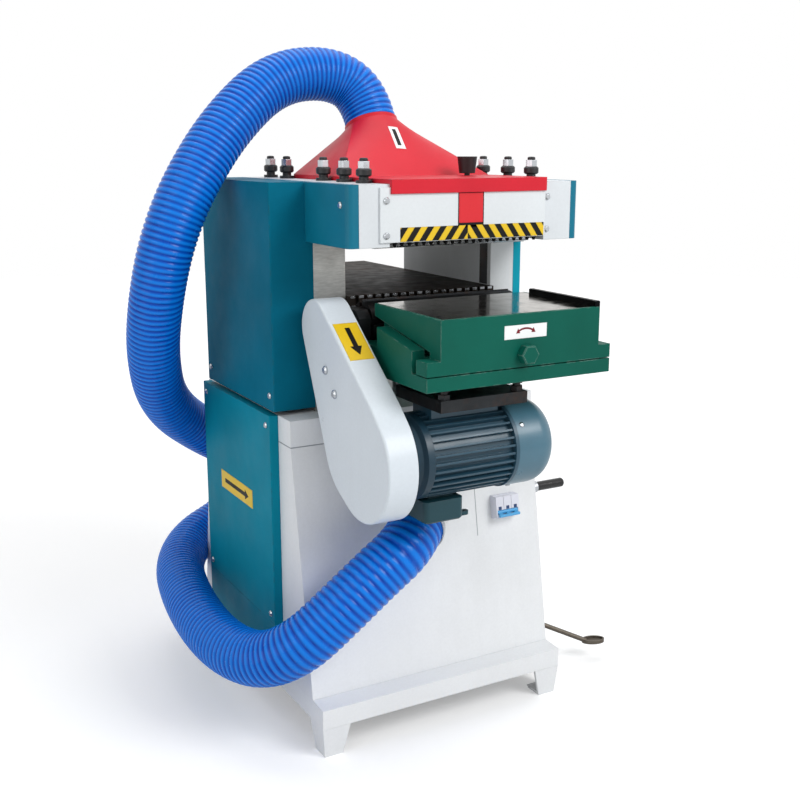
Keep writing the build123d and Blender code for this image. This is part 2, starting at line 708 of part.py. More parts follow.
def feed_roller(y, fluted, drive_end):
    x = (PASS_L + CUTTER_SIDE_GAP, PASS_R - CUTTER_SIDE_GAP)
    left = DRIVE_CHAIN_X - CHAIN_W if drive_end else HEAD_L + HEAD_WALL / 2
    body = rod_x(ROLLER_R, x, y, ROLLER_Z)
    if fluted:
        body = fluted_bar(ROLLER_R, ROLLER_FLUTES, FLUTE_DEPTH, x, y, ROLLER_Z)
    body += rod_x(ROLLER_SHAFT_R, (left, x[0]), y, ROLLER_Z)
    body += rod_x(ROLLER_SHAFT_R, (x[1], FEED_CHAIN_X - CHAIN_W / 2), y, ROLLER_Z)
    body += rod_x(SPROCKET_R, about(FEED_CHAIN_X, CHAIN_W), y, ROLLER_Z)
    if drive_end:
        body += rod_x(SPROCKET_R, about(DRIVE_CHAIN_X, CHAIN_W), y, ROLLER_Z)
    return body


def roller_blocks():
    """Bearing blocks in the cheeks' slots, one at each end of every roller."""
    cheeks = ((HEAD_L, PASS_L - CUTTER_SIDE_GAP), (PASS_R + CUTTER_SIDE_GAP, HEAD_R))
    blocks = []
    for y in ROLLER_Y:
        for x in cheeks:
            body = block(x, about(y, BLOCK_W), about(ROLLER_Z, BLOCK_H))
            blocks.append(body - rod_x(ROLLER_SHAFT_R + RUN_GAP, x, y, ROLLER_Z))
    return group(blocks)


def cutter(radius, y, z, x, pulley):
    """Cutterhead with gullets and knives, its shaft and its (x, radius) belt pulley."""
    profile = Circle(radius - KNIFE_OUT)
    gullet = Pos(radius - KNIFE_OUT, -GIB_T) * Rectangle(2 * GULLET, GIB_T)
    for turn in range(KNIVES):
        profile -= Rot(0, 0, 360 / KNIVES * turn) * gullet
    knife = Pos(radius - GULLET / 2, KNIFE_T / 2 - GIB_T / 2) * Rectangle(GULLET, KNIFE_T)
    blades = Sketch() + [Rot(0, 0, 360 / KNIVES * turn) * knife for turn in range(KNIVES)]
    blades &= Circle(radius)
    body_x = (PASS_L + CUTTER_SIDE_GAP, PASS_R - CUTTER_SIDE_GAP)
    solid = extrude(across(body_x[0], y, z) * (profile + blades), body_x[1] - body_x[0])
    solid += rod_x(SHAFT_R, (x[0], body_x[0]), y, z)
    solid += rod_x(SHAFT_R, (body_x[1], x[1]), y, z)
    return solid + rod_x(pulley[1], about(pulley[0], BELT_W + 2 * SHEET), y, z)


def upper_cutter():
    x = (UPPER_BELT_X - BELT_W / 2 - SHEET, PASS_R + BEARING_W + SHEET)
    return cutter(UPPER_CUTTER_R, UPPER_CUTTER_Y, UPPER_CUTTER_Z, x, (UPPER_BELT_X, UPPER_PULLEY_R))


def lower_cutter():
    x = (LOWER_BELT_X - BELT_W / 2 - SHEET, BRACKET_R)
    return cutter(LOWER_CUTTER_R, LOWER_CUTTER_Y, LOWER_CUTTER_Z, x, (LOWER_BELT_X, LOWER_PULLEY_R))


def upper_cutter_bearings():
    rings = []
    for x in ((PASS_L - BEARING_W - SHEET, PASS_L - SHEET), (PASS_R + SHEET, PASS_R + SHEET + BEARING_W)):
        ring = rod_x(BEARING_R, x, UPPER_CUTTER_Y, UPPER_CUTTER_Z)
        rings.append(ring - rod_x(SHAFT_R + RUN_GAP, x, UPPER_CUTTER_Y, UPPER_CUTTER_Z))
    return group(rings)


def chip_breaker():
    """Pressure shoe ahead of the upper cutter, held in the cheeks' slots."""
    back = BREAKER_BAR_Y + BLOCK_W / 2
    front = BREAKER_BAR_Y - BLOCK_W / 2
    toe = UPPER_CUTTER_Y - UPPER_CUTTER_R - LIP_CLEARANCE
    low = HEAD_LOW - ROLLER_DROP
    shoe = prism_x([(front, ROLLER_Z), (front, low + 2 * SHEET), (front + 2 * SHEET, low), (toe - SHEET, low),
                    (toe, low + SHEET), (back, low + 4 * SHEET), (back, ROLLER_Z)],
                   (PASS_L + CUTTER_SIDE_GAP, PASS_R - CUTTER_SIDE_GAP))
    ends = block((HEAD_L, HEAD_R), (front, back), (ROLLER_Z - BLOCK_H / 4, ROLLER_Z + BLOCK_H / 2))
    return shoe + ends


def pressure_bar():
    """Bar behind the upper cutter, hung from the head's roof."""
    y = UPPER_CUTTER_Y + UPPER_CUTTER_R + LIP_CLEARANCE
    x = (PASS_L + CUTTER_SIDE_GAP, PASS_R - CUTTER_SIDE_GAP)
    low = HEAD_LOW - ROLLER_DROP
    top = HEAD_TOP - HEAD_ROOF
    back = y + 3 * SHEET
    return prism_x([(y, low + SHEET), (y + SHEET, low), (back, low), (back, top), (y, top)], x)


def adjuster_sleeves():
    """Spring sleeves: a foot on the head, a neck and a cup under the nut."""
    sleeves = []
    top = HEAD_TOP + SLEEVE_H
    for x, y in adjuster_places():
        cup = rod_z(COLLAR_R, x, y, (top - COLLAR_T, top))
        sleeve = chamfer(cup.edges().filter_by(GeomType.CIRCLE), COLLAR_BEVEL)
        sleeve += rod_z(SLEEVE_R, x, y, (HEAD_TOP, top))
        sleeve += rod_z(SLEEVE_FOOT_R, x, y, (HEAD_TOP, HEAD_TOP + SLEEVE_FOOT_T))
        sleeves.append(sleeve - rod_z(ADJUSTER_R + RUN_GAP, x, y, (HEAD_TOP, top)))
    return group(sleeves)


def adjuster_screws():
    screws = []
    for x, y in adjuster_places():
        nut_z = HEAD_TOP + SLEEVE_H
        top = nut_z + ADJUSTER_NUT_H
        screw = rod_z(ADJUSTER_R, x, y, (ROLLER_Z + BLOCK_H / 2, top))
        screw += rod_z(ADJUSTER_TIP_R, x, y, (top, top + ADJUSTER_TIP_H))
        screws.append(screw + hex_z(ADJUSTER_NUT, x, y, (nut_z, top)))
    return group(screws)


def lock_knob():
    """Tapered knob with a stem in the head's roof."""
    x = FEED_X + KNOB_X
    base = HEAD_TOP + KNOB_STEM_H
    stem = rod_z(ADJUSTER_R, x, KNOB_Y, (HEAD_TOP - HEAD_ROOF / 2, base))
    grip = loft([Pos(x, KNOB_Y, base) * Circle(KNOB_R * 0.8), Pos(x, KNOB_Y, base + KNOB_H) * Circle(KNOB_R)])
    return stem + grip


def kickback_shaft():
    return rod_x(FINGER_SHAFT_R, (HEAD_L + HEAD_WALL, HEAD_R - HEAD_WALL), FINGER_Y, FINGER_Z)


def kickback_fingers():
    """Row of pointed fingers hanging on one shaft."""
    half = FINGER_W / 2
    tip = FINGER_Z - FINGER_REACH
    outline = [(FINGER_Y - half, FINGER_Z + half), (FINGER_Y + half, FINGER_Z + half),
               (FINGER_Y + half, tip + FINGER_W), (FINGER_Y - half / 2, tip), (FINGER_Y - half, tip + half)]
    fingers = []
    for index in range(FINGERS):
        x = about(FEED_X + (index - (FINGERS - 1) / 2) * FINGER_PITCH, FINGER_T)
        finger = prism_x(outline, x) - rod_x(FINGER_SHAFT_R + RUN_GAP, x, FINGER_Y, FINGER_Z)
        fingers.append(finger)
    return group(fingers)


# Belts and chains
def belt(x, width, wheels, thickness):
    """Closed band round (y, z, radius) wheels."""
    span = about(x, width)
    inside = [(y, z, radius + BELT_GAP) for y, z, radius in wheels]
    outside = [(y, z, radius + thickness) for y, z, radius in inside]
    return hull_x(outside, span) - hull_x(inside, span)


def upper_belt():
    wheels = [(UPPER_CUTTER_Y, UPPER_CUTTER_Z, UPPER_PULLEY_R),
              (UPPER_CUTTER_Y, UPPER_MOTOR_Z, UPPER_MOTOR_PULLEY_R)]
    return belt(UPPER_BELT_X, BELT_W, wheels, BELT_T)


def lower_belt():
    wheels = [(LOWER_CUTTER_Y, LOWER_CUTTER_Z, LOWER_PULLEY_R),
              (LOWER_MOTOR_Y, LOWER_MOTOR_Z, LOWER_MOTOR_PULLEY_R)]
    return belt(LOWER_BELT_X, BELT_W, wheels, BELT_T)


def feed_chains():
    rollers = [(y, ROLLER_Z, SPROCKET_R) for y in (ROLLER_Y[0], ROLLER_Y[-1])]
    drive = [(GEAR_MOTOR_Y, GEAR_MOTOR_Z, DRIVE_SPROCKET_R), (OUTFEED_Y[1], ROLLER_Z, SPROCKET_R)]
    feed_loop = belt(FEED_CHAIN_X, CHAIN_W, rollers, CHAIN_T)
    return group([feed_loop, belt(DRIVE_CHAIN_X, CHAIN_W, drive, CHAIN_T)])


# Motors
def motor_frame(x, y, z, up):
    """Finned barrel with feet on the +1 (top) or -1 (bottom) side, bored for its shaft."""
    span = (x, x + MOTOR_L)
    profile = Circle(MOTOR_CORE_R)
    fin = Pos(MOTOR_CORE_R, 0) * Rectangle(2 * (MOTOR_R - MOTOR_CORE_R), FIN_T)
    for turn in range(MOTOR_FINS):
        profile += Rot(0, 0, 360 / MOTOR_FINS * turn) * fin
    profile &= Circle(MOTOR_R)
    frame = extrude(across(x, y, z) * profile, MOTOR_L)
    frame += rod_x(MOTOR_R + COVER_SHEET, (span[1] - 2 * SHEET, span[1]), y, z)
    foot_z = sorted((z + up * MOTOR_CORE_R * 0.8, z + up * MOTOR_FOOT))
    frame += block(about(x + MOTOR_L / 2, MOTOR_L * 0.8), about(y, MOTOR_FOOT_W), foot_z)
    return frame - rod_x(MOTOR_SHAFT_R + RUN_GAP, span, y, z)


def end_bell(x, y, z):
    """Turned drive-end shield, stepped down to the bearing boss."""
    steps = [(0, MOTOR_R), (BELL_L * 0.3, MOTOR_R), (BELL_L * 0.4, MOTOR_CORE_R),
             (BELL_L * 0.75, MOTOR_CORE_R * 0.9), (BELL_L, MOTOR_CORE_R * 0.55)]
    bore = MOTOR_SHAFT_R + RUN_GAP
    outline = [(0, bore)] + steps + [(BELL_L, bore)]
    turned = revolve(Polygon(*outline, align=None), Axis.X)
    return Pos(x, y, z) * Rot(0, 180, 0) * turned


def fan_cover(x, y, z):
    """Domed sheet cowl with radial slots in its end."""
    radius = MOTOR_R + COVER_SHEET
    cowl = rod_x(radius, (x, x + FAN_COVER_L), y, z)
    cowl = fillet(cowl.edges().group_by(Axis.X)[-1], FAN_DOME)
    hollow = rod_x(MOTOR_R, (x, x + FAN_COVER_L - COVER_SHEET), y, z)
    cowl -= fillet(hollow.edges().group_by(Axis.X)[-1], FAN_DOME - COVER_SHEET)
    flat = radius - FAN_DOME
    slot = Pos(flat * 0.6, 0) * Rectangle(flat * 0.7, SHEET)
    slots = Sketch() + [Rot(0, 0, 360 / 10 * turn) * slot for turn in range(10)]
    end = across(x + FAN_COVER_L - 2 * COVER_SHEET, y, z) * slots
    return cowl - extrude(end, 4 * COVER_SHEET)


def motor_rotor(x, y, z, pulley, with_fan):
    """Shaft with its belt pulley and, behind the frame, a bladed fan."""
    left = pulley[0] - BELT_W / 2 - SHEET
    fan_x = x + MOTOR_L + FAN_COVER_L * 0.3
    right = fan_x + FAN_COVER_L * 0.3 if with_fan else x + MOTOR_L
    rotor = rod_x(MOTOR_SHAFT_R, (left, right), y, z)
    rotor += rod_x(pulley[1], about(pulley[0], BELT_W + 2 * SHEET), y, z)
    if with_fan:
        rotor += rod_x(MOTOR_CORE_R / 2, (fan_x, fan_x + SHEET), y, z)
        for turn in range(6):
            blade = block((0, FAN_COVER_L * 0.3), about(0, SHEET), (MOTOR_SHAFT_R / 2, MOTOR_CORE_R))
            rotor += Pos(fan_x, y, z) * Rot(60 * turn, 0, 0) * blade
    return rotor


def terminal_box():
    """Lidded box under the hung motor, with a gland boss at its right."""
    x = (LOWER_MOTOR_X, LOWER_MOTOR_X + TERMINAL_W)
    top = LOWER_MOTOR_Z - MOTOR_R
    box = block(x, about(LOWER_MOTOR_Y, TERMINAL_D), (top - TERMINAL_H, top))
    box = fillet(box.edges().filter_by(Axis.Z), 3 * SHEET)
    box = chamfer(box.edges().group_by(Axis.Z)[0], SHEET)
    pillar_x = (x[0] + 5 * SHEET, x[1] - 3 * SHEET)
    pillar_z = (top - SHEET, LOWER_MOTOR_Z - MOTOR_CORE_R * 0.8)
    box += block(pillar_x, about(LOWER_MOTOR_Y, TERMINAL_D / 2), pillar_z)
    lug_y = LOWER_MOTOR_Y - TERMINAL_D / 4
    lug_z = (top - TERMINAL_H, top - TERMINAL_H + 2 * SHEET)
    box += block((x[1] - SHEET, x[1] + 4 * SHEET), about(lug_y, 4 * SHEET), lug_z)
    box += rod_z(2 * SHEET, x[1] + 4 * SHEET, lug_y, lug_z)
    return box - rod_x(MOTOR_R, (x[0] - SHEET, x[1] + SHEET), LOWER_MOTOR_Y, LOWER_MOTOR_Z)


def gear_motor():
    """Feed gear motor, hung inside the cabinet's top, with its sprocket."""
    box_l = DRIVE_CHAIN_X + CHAIN_W
    box_r = box_l + GEARBOX_W
    box = block((box_l, box_r), about(GEAR_MOTOR_Y, GEARBOX_D), about(GEAR_MOTOR_Z, GEARBOX_H))
    box += rod_x(MOTOR_CORE_R * 0.75, (box_r, box_r + MOTOR_L), GEAR_MOTOR_Y, GEAR_MOTOR_Z)
    hanger_x = (box_l + HANGER_INSET, box_r - HANGER_INSET)
    hanger_y = about(GEAR_MOTOR_Y, GEARBOX_D - 2 * HANGER_INSET)
    box += block(hanger_x, hanger_y, (GEAR_MOTOR_Z, BASE_TOP - SHEET))
    shaft = rod_x(MOTOR_SHAFT_R, (DRIVE_CHAIN_X - CHAIN_W, box_l), GEAR_MOTOR_Y, GEAR_MOTOR_Z)
    return box + shaft + rod_x(DRIVE_SPROCKET_R, about(DRIVE_CHAIN_X, CHAIN_W), GEAR_MOTOR_Y, GEAR_MOTOR_Z)


# Bed, bracket and tables
def way_z(y):
    """Height of the inclined ways under the infeed table."""
    return BRACKET_TOP + WAY_STEP + (y - INFEED_FRONT) * math.tan(math.radians(INFEED_SLOPE))


def bed_saddle():
    """Bed casting: saddle between the columns, front bracket with inclined ways, and rear ribs."""
    saddle_x = (PASS_L + SLIDE_GAP, PASS_R - SLIDE_GAP)
    top = TABLE_Z - TABLE_T
    saddle = block(saddle_x, (BRACKET_BACK, SADDLE_BACK), (SADDLE_LOW, top))
    pocket_z = (SADDLE_LOW, top - SADDLE_WALL)
    pocket_y = (BRACKET_BACK + SADDLE_WALL, SADDLE_BACK - SADDLE_WALL)
    saddle -= block((saddle_x[0] + SADDLE_WALL, FEED_X - 2 * SADDLE_WALL), pocket_y, pocket_z)
    saddle -= block((FEED_X + 2 * SADDLE_WALL, saddle_x[1] - SADDLE_WALL), pocket_y, pocket_z)
    ears = (BRACKET_L, BRACKET_R)
    saddle += block(ears, (WAY_FRONT, BRACKET_BACK), (SADDLE_LOW, BRACKET_TOP))
    saddle += block(ears, (INFEED_FRONT, WAY_FRONT), (SADDLE_LOW, SADDLE_LOW + SILL_H))
    way_back = LOWER_CUTTER_Y - LOWER_CUTTER_R - 2 * TROUGH_GAP
    way_x = about(FEED_X, PASS_W - 2 * WAY_INSET)
    ways = [(y, z) for y in (WAY_FRONT, way_back) for z in (BRACKET_TOP, way_z(y))]
    ways[2:] = reversed(ways[2:])
    saddle += prism_x(ways, way_x)
    flank = [(WAY_FRONT, BRACKET_TOP), (WAY_FRONT, way_z(WAY_FRONT)),
             (BRACKET_EAR, way_z(BRACKET_EAR)), (BRACKET_EAR, BRACKET_TOP)]
    for x in ((BRACKET_L, PASS_L - FLANK_GAP), (PASS_R + FLANK_GAP, BRACKET_R)):
        saddle += prism_x(flank, x)
    trough_x = (PASS_L - CUTTER_SIDE_GAP, PASS_R + CUTTER_SIDE_GAP)
    saddle -= rod_x(LOWER_CUTTER_R + TROUGH_GAP, trough_x, LOWER_CUTTER_Y, LOWER_CUTTER_Z)
    bolt_y, bolt_z = GUARD_BOLTS[1]
    lug_y = about(LOWER_CUTTER_Y + bolt_y, 6 * GUARD_BOLT_R)
    lug_z = (LOWER_CUTTER_Z + bolt_z - 3 * GUARD_BOLT_R, SADDLE_LOW)
    saddle += block((BRACKET_L, BRACKET_L + SADDLE_WALL), lug_y, lug_z)
    screw_x, screw_z = depth_screw_place()
    bore_y = (WAY_FRONT, INFEED_FRONT + DEPTH_SCREW_IN + 3 * SHEET)
    saddle -= rod_y(DEPTH_SCREW_R + DEPTH_SCREW_PLAY, screw_x, bore_y, screw_z)
    rib_end = BED_BACK - 2 * SADDLE_WALL
    rib = [(SADDLE_BACK, SADDLE_LOW), (rib_end, top - SADDLE_WALL / 2), (rib_end, top), (SADDLE_BACK, top)]
    for x in (saddle_x[0] + BED_RIB_IN, saddle_x[1] - BED_RIB_IN):
        saddle += prism_x(rib, about(x, BED_RIB_T))
    return saddle - rod_z(LIFT_SCREW_R + SHEET, FEED_X, LIFT_Y, (SADDLE_LOW, top))


def cutter_relief():
    """Round clearance for the lower cutter under the table lips."""
    x = (PASS_L - SHEET, PASS_R + SHEET)
    return rod_x(LOWER_CUTTER_R + LIP_CLEARANCE, x, LOWER_CUTTER_Y, LOWER_CUTTER_Z)


def bed_table():
    """Bed plate behind the lower cutter, with a slotted lip, on past the columns."""
    x = (PASS_L + SLIDE_GAP, PASS_R - SLIDE_GAP)
    front = LOWER_CUTTER_Y + BED_LIP
    table = block(x, (front, BED_BACK), (TABLE_Z - TABLE_T, TABLE_Z)) - cutter_relief()
    for index in range(LIP_SLOTS):
        slot_x = FEED_X + (index - (LIP_SLOTS - 1) / 2) * PASS_W / (LIP_SLOTS + 1)
        table -= block(about(slot_x, LIP_SLOT_W), (front, front + LIP_SLOT_D), (TABLE_Z - TABLE_T, TABLE_Z))
    return table


def lower_cutter_bearings():
    housings = []
    y = about(LOWER_CUTTER_Y, 2 * BEARING_R + 4 * SHEET)
    z = (BRACKET_TOP, LOWER_CUTTER_Z + BEARING_R)
    for x in ((BRACKET_L, PASS_L - CUTTER_SIDE_GAP), (PASS_R + CUTTER_SIDE_GAP, BRACKET_R)):
        housing = block(x, y, z)
        housing = chamfer(housing.edges().filter_by(Axis.X).group_by(Axis.Z)[-1], 4 * SHEET)
        housings.append(housing - rod_x(SHAFT_R + RUN_GAP, x, LOWER_CUTTER_Y, LOWER_CUTTER_Z))
    return group(housings)


def infeed_pocket():
    """Room for the steel top inside the casting's rim, open at the back."""
    x = about(FEED_X, PASS_W - 2 * INFEED_RIM)
    return block(x, (INFEED_FRONT + INFEED_RIM, INFEED_BACK), (INFEED_LOW, TABLE_Z))


def infeed_table():
    """Wedge casting that slides on the bracket's inclined ways, with a flanged front apron."""
    x = about(FEED_X, PASS_W)
    outline = [(y, way_z(y) + SLIDE_GAP) for y in (INFEED_FRONT, INFEED_BACK)]
    outline += [(INFEED_BACK, TABLE_Z), (INFEED_FRONT, TABLE_Z)]
    table = prism_x(outline, x)
    apron_y = (INFEED_FRONT, APRON_BACK)
    table += block(x, apron_y, (APRON_LOW, way_z(APRON_BACK) + SHEET))
    table += block((BRACKET_L, BRACKET_R), apron_y, (APRON_LOW, BRACKET_TOP))
    screw_x, screw_z = depth_screw_place()
    table -= rod_y(DEPTH_SCREW_R + RUN_GAP, screw_x, apron_y, screw_z)
    return table - infeed_pocket() - cutter_relief()


def infeed_top():
    return infeed_pocket() - cutter_relief()


def infeed_guide_bar():
    y = (INFEED_FRONT, INFEED_FRONT + GUIDE_L)
    bar = block((PASS_R - GUIDE_W, PASS_R), y, (TABLE_Z, TABLE_Z + GUIDE_H))
    return chamfer(bar.edges().group_by(Axis.Z)[-1], GUIDE_H / 8)


def depth_screw_place():
    return FEED_X + DEPTH_SCREW_X, BRACKET_TOP - DEPTH_SCREW_DROP


def infeed_screw():
    """Depth screw through the infeed table's apron, with a hexagonal end in front of it."""
    x, z = depth_screw_place()
    front = INFEED_FRONT - SLIDE_GAP
    shank = rod_y(DEPTH_SCREW_R, x, (front, INFEED_FRONT + DEPTH_SCREW_IN), z)
    outline = Plane(origin=(x, front, z), x_dir=(1, 0, 0), z_dir=(0, -1, 0)) * RegularPolygon(DEPTH_HEX, 6)
    return shank + chamfer(extrude(outline, DEPTH_HEX_L).edges().group_by(Axis.Y)[0], SHEET / 2)


def motor_mount():
    """Plate for the hung motor, on four studs with nuts under the bracket."""
    left = LOWER_MOTOR_X + MOUNT_PLATE_IN
    plate_x = (left, left + MOUNT_PLATE_W)
    plate_y = about(LOWER_MOTOR_Y, MOUNT_PLATE_D)
    plate_z = (MOUNT_Z, MOUNT_Z + MOUNT_PLATE_T)
    pieces = [block(plate_x, plate_y, plate_z)]
    for x in (plate_x[0] + STUD_INSET, plate_x[1] - STUD_INSET):
        for y in (plate_y[0] + STUD_INSET, plate_y[1] - STUD_INSET):
            stud = rod_z(MOUNT_STUD_R, x, y, (plate_z[1], SADDLE_LOW))
            stud += hex_z(MOUNT_NUT, x, y, (plate_z[1], plate_z[1] + MOUNT_NUT_H))
            pieces.append(stud + hex_z(MOUNT_NUT, x, y, (SADDLE_LOW - MOUNT_NUT_H, SADDLE_LOW)))
    return group(pieces)


def guard_hull(inset, x):
    circles = [(LOWER_CUTTER_Y, LOWER_CUTTER_Z, GUARD_UPPER_R - inset),
               (LOWER_MOTOR_Y, LOWER_MOTOR_Z, GUARD_LOWER_R - inset),
               (LOWER_MOTOR_Y + GUARD_BULGE[0], LOWER_MOTOR_Z + GUARD_BULGE[1], GUARD_BULGE[2] - inset)]
    return hull_x(circles, x)


def belt_guard():
    """Tapered sheet guard over the lower belt, closed at its back."""
    guard = guard_hull(0, (GUARD_L_X, GUARD_R_X))
    guard = fillet(guard.edges().group_by(Axis.X)[0], GUARD_ROUND)
    guard -= guard_hull(GUARD_SHEET, (GUARD_L_X + GUARD_SHEET, GUARD_R_X - GUARD_SHEET))
    back = (GUARD_R_X - 2 * GUARD_SHEET, GUARD_R_X)
    guard -= rod_x(SHAFT_R + 2 * SHEET, back, LOWER_CUTTER_Y, LOWER_CUTTER_Z)
    guard -= rod_x(MOTOR_SHAFT_R + 4 * SHEET, back, LOWER_MOTOR_Y, LOWER_MOTOR_Z)
    for y, z in GUARD_BOLTS:
        through = (GUARD_L_X, GUARD_R_X)
        guard -= rod_x(GUARD_BOLT_R + RUN_GAP, through, LOWER_CUTTER_Y + y, LOWER_CUTTER_Z + z)
    return guard


def guard_bolts():
    bolts = []
    for y, z in GUARD_BOLTS:
        place = (LOWER_CUTTER_Y + y, LOWER_CUTTER_Z + z)
        shank = rod_x(GUARD_BOLT_R, (GUARD_L_X, BRACKET_L), *place)
        head = rod_x(GUARD_BOLT_HEAD_R, (GUARD_L_X - GUARD_BOLT_R, GUARD_L_X), *place)
        bolts.append(shank + chamfer(head.edges().group_by(Axis.X)[0], GUARD_BOLT_R / 2))
    return group(bolts)


# Bed lift and crank
def lift_screw():
    """Lifting screw with its bevel wheel, standing in the cross bar."""
    low, high = cross_bar_z()
    wheel_z = high + SLIDE_GAP
    top = TABLE_Z - LIFT_SCREW_TOP
    screw = rod_z(LIFT_SCREW_R, FEED_X, LIFT_Y, (low - BEVEL_T, top))
    screw += loft([Pos(FEED_X, LIFT_Y, wheel_z) * Circle(BEVEL_R - SLIDE_GAP),
                   Pos(FEED_X, LIFT_Y, wheel_z + BEVEL_T) * Circle(BEVEL_R - BEVEL_T - SLIDE_GAP)])
    return screw + rod_z(LIFT_SCREW_R + SHEET, FEED_X, LIFT_Y, (low - BEVEL_T, low - SLIDE_GAP))


def cross_bar_z():
    high = CRANK_Z - BEVEL_R - SLIDE_GAP
    return high - CROSS_BAR_T, high


def cross_members():
    """Motor shelf and screw bearer, welded between the cabinet's walls."""
    inside = about(0, BASE_W - 2 * SHEET)
    shelf_d = -2 * base_front(SHELF_Z) - 4 * SHEET
    shelf = block(inside, about(0, shelf_d), (SHELF_Z - SHELF_T, SHELF_Z))
    bearer_d = -2 * base_front(cross_bar_z()[1]) - 2 * SHEET
    bearer = block(about(FEED_X, CROSS_BAR_W), about(0, bearer_d), cross_bar_z())
    bearer -= rod_z(LIFT_SCREW_R + RUN_GAP, FEED_X, LIFT_Y, cross_bar_z())
    return group([shelf, bearer])


def lift_nut():
    z = (SADDLE_LOW - LIFT_NUT_H, SADDLE_LOW)
    nut = rod_z(LIFT_NUT_R, FEED_X, LIFT_Y, z)
    return nut - rod_z(LIFT_SCREW_R + RUN_GAP, FEED_X, LIFT_Y, z)


def crank():
    """Crank shaft with its bevel pinion, arm and grip pin."""
    arm_x = (CRANK_X, CRANK_X + CRANK_ARM_T)
    tip_y = LIFT_Y - CRANK_THROW
    arm = hull_x([(LIFT_Y, CRANK_Z, CRANK_HUB_R), (tip_y, CRANK_Z, CRANK_TIP_R)], arm_x)
    arm += rod_x(CRANK_SHAFT_R, (FEED_X + BEVEL_R, CRANK_X), LIFT_Y, CRANK_Z)
    arm += rod_x(CRANK_HUB_R, (BASE_W / 2 + SLIDE_GAP, CRANK_X), LIFT_Y, CRANK_Z)
    arm += rod_x(GRIP_PIN_R, (arm_x[1], arm_x[1] + GRIP_L - SHEET), tip_y, CRANK_Z)
    small = across(FEED_X + BEVEL_R - BEVEL_T, LIFT_Y, CRANK_Z) * Circle(BEVEL_R - BEVEL_T - SLIDE_GAP)
    large = across(FEED_X + BEVEL_R, LIFT_Y, CRANK_Z) * Circle(BEVEL_R - SLIDE_GAP)
    return arm + loft([small, large])


def crank_grip():
    """Round-ended grip, bored to spin on the crank's pin."""
    start = CRANK_X + CRANK_ARM_T + SLIDE_GAP
    tip_y = LIFT_Y - CRANK_THROW
    grip = rod_x(GRIP_R, (start, start + GRIP_L), tip_y, CRANK_Z)
    grip = fillet(grip.edges().group_by(Axis.X)[-1], GRIP_R * 0.6)
    return grip - rod_x(GRIP_PIN_R + RUN_GAP, (start, start + GRIP_L - 0.75 * SHEET), tip_y, CRANK_Z)


# Circuit breaker and foot lever
def breaker_plane():
    """Plane of the cabinet's sloping front, with its normal outwards."""
    place = (BREAKER_X, base_front(BREAKER_Z), BREAKER_Z)
    return Plane(origin=place, x_dir=(1, 0, 0), z_dir=(0, -1, FRONT_SLOPE))


def toggle_pivot():
    """Toggle axis in the breaker's own plane: height up the face, then out from it."""
    return -TOGGLE_DROP, BREAKER_T + NOSE_T - TOGGLE_R


def breaker_body():
    body = extrude(Rectangle(BREAKER_W, BREAKER_H), BREAKER_T)
    body += extrude(Pos(0, 0, BREAKER_T) * Rectangle(BREAKER_W, NOSE_H), NOSE_T)
    height, out = toggle_pivot()
    slot_w = 2 * (TOGGLE_R + SLIDE_GAP)
    low = out - TOGGLE_R - SLIDE_GAP
    slot = extrude(Pos(0, height, low) * Rectangle(TOGGLE_W + 2 * SLIDE_GAP, slot_w), BREAKER_T + NOSE_T)
    face = BREAKER_T + NOSE_T
    for index in range(1, POLES):
        groove_x = (index / POLES - 0.5) * BREAKER_W
        groove = Pos(groove_x, 0, face - POLE_GROOVE) * Rectangle(POLE_GROOVE, NOSE_H)
        body -= extrude(groove, 2 * POLE_GROOVE)
    return breaker_plane() * (body - slot)


def breaker_toggle():
    """One lever for each pole on a round barrel, tied by a bar across their ends."""
    height, out = toggle_pivot()
    toggle = Rot(0, 90, 0) * Cylinder(TOGGLE_R, TOGGLE_W)
    bar = block(about(0, TOGGLE_W), about(0, TIE_BAR), (TOGGLE_L - TIE_BAR, TOGGLE_L))
    toggle += fillet(bar.edges().filter_by(Axis.X), TIE_BAR / 4)
    for index in range(POLES):
        lever_x = about((index - (POLES - 1) / 2) * BREAKER_W / POLES, TOGGLE_W / 2 / POLES)
        toggle += block(lever_x, about(0, TOGGLE_T), (0, TOGGLE_L - TIE_BAR / 2))
    return breaker_plane() * Pos(0, height, out) * Rot(TOGGLE_TILT, 0, 0) * toggle


def pedal_lever():
    """Bent foot lever: pivot hub, round rod and a dished oval pad."""
    pin_x = pedal_pin_x()
    hub_y = about(PEDAL_Y, PEDAL_HUB_L)
    start = Vector(pin_x, PEDAL_Y, PEDAL_Z)
    pad = Vector(*PEDAL_PAD)
    along = pad - start
    rod = Plane(origin=start, z_dir=along) * Cylinder(PEDAL_ROD_R, along.length,
                                                     align=(Align.CENTER, Align.CENTER, Align.MIN))
    tread = extrude(Ellipse(PEDAL_PAD_L / 2, PEDAL_PAD_W / 2), PEDAL_PAD_T)
    dish = Ellipse(PEDAL_PAD_L / 2 - SHEET, PEDAL_PAD_W / 2 - SHEET)
    tread -= extrude(Pos(0, 0, PEDAL_PAD_T) * dish, -SHEET)
    heading = math.degrees(math.atan2(along.Y, along.X))
    tread = Pos(*pad) * Rot(0, 0, heading) * Pos(PEDAL_PAD_L / 3, 0, -PEDAL_PAD_T / 2) * tread
    hub = rod_y(PEDAL_HUB_R, pin_x, hub_y, PEDAL_Z)
    return rod + tread + hub - rod_y(PEDAL_PIN_R + RUN_GAP, pin_x, hub_y, PEDAL_Z)


# Dust hose and its fittings
def port_plane():
    """Plane of the hose's lower end, with its normal into the cabinet."""
    return Plane(origin=PORT_AT, z_dir=PORT_AIM)


def port_tube(radius):
    return extrude(port_plane() * Circle(radius), PORT_L)


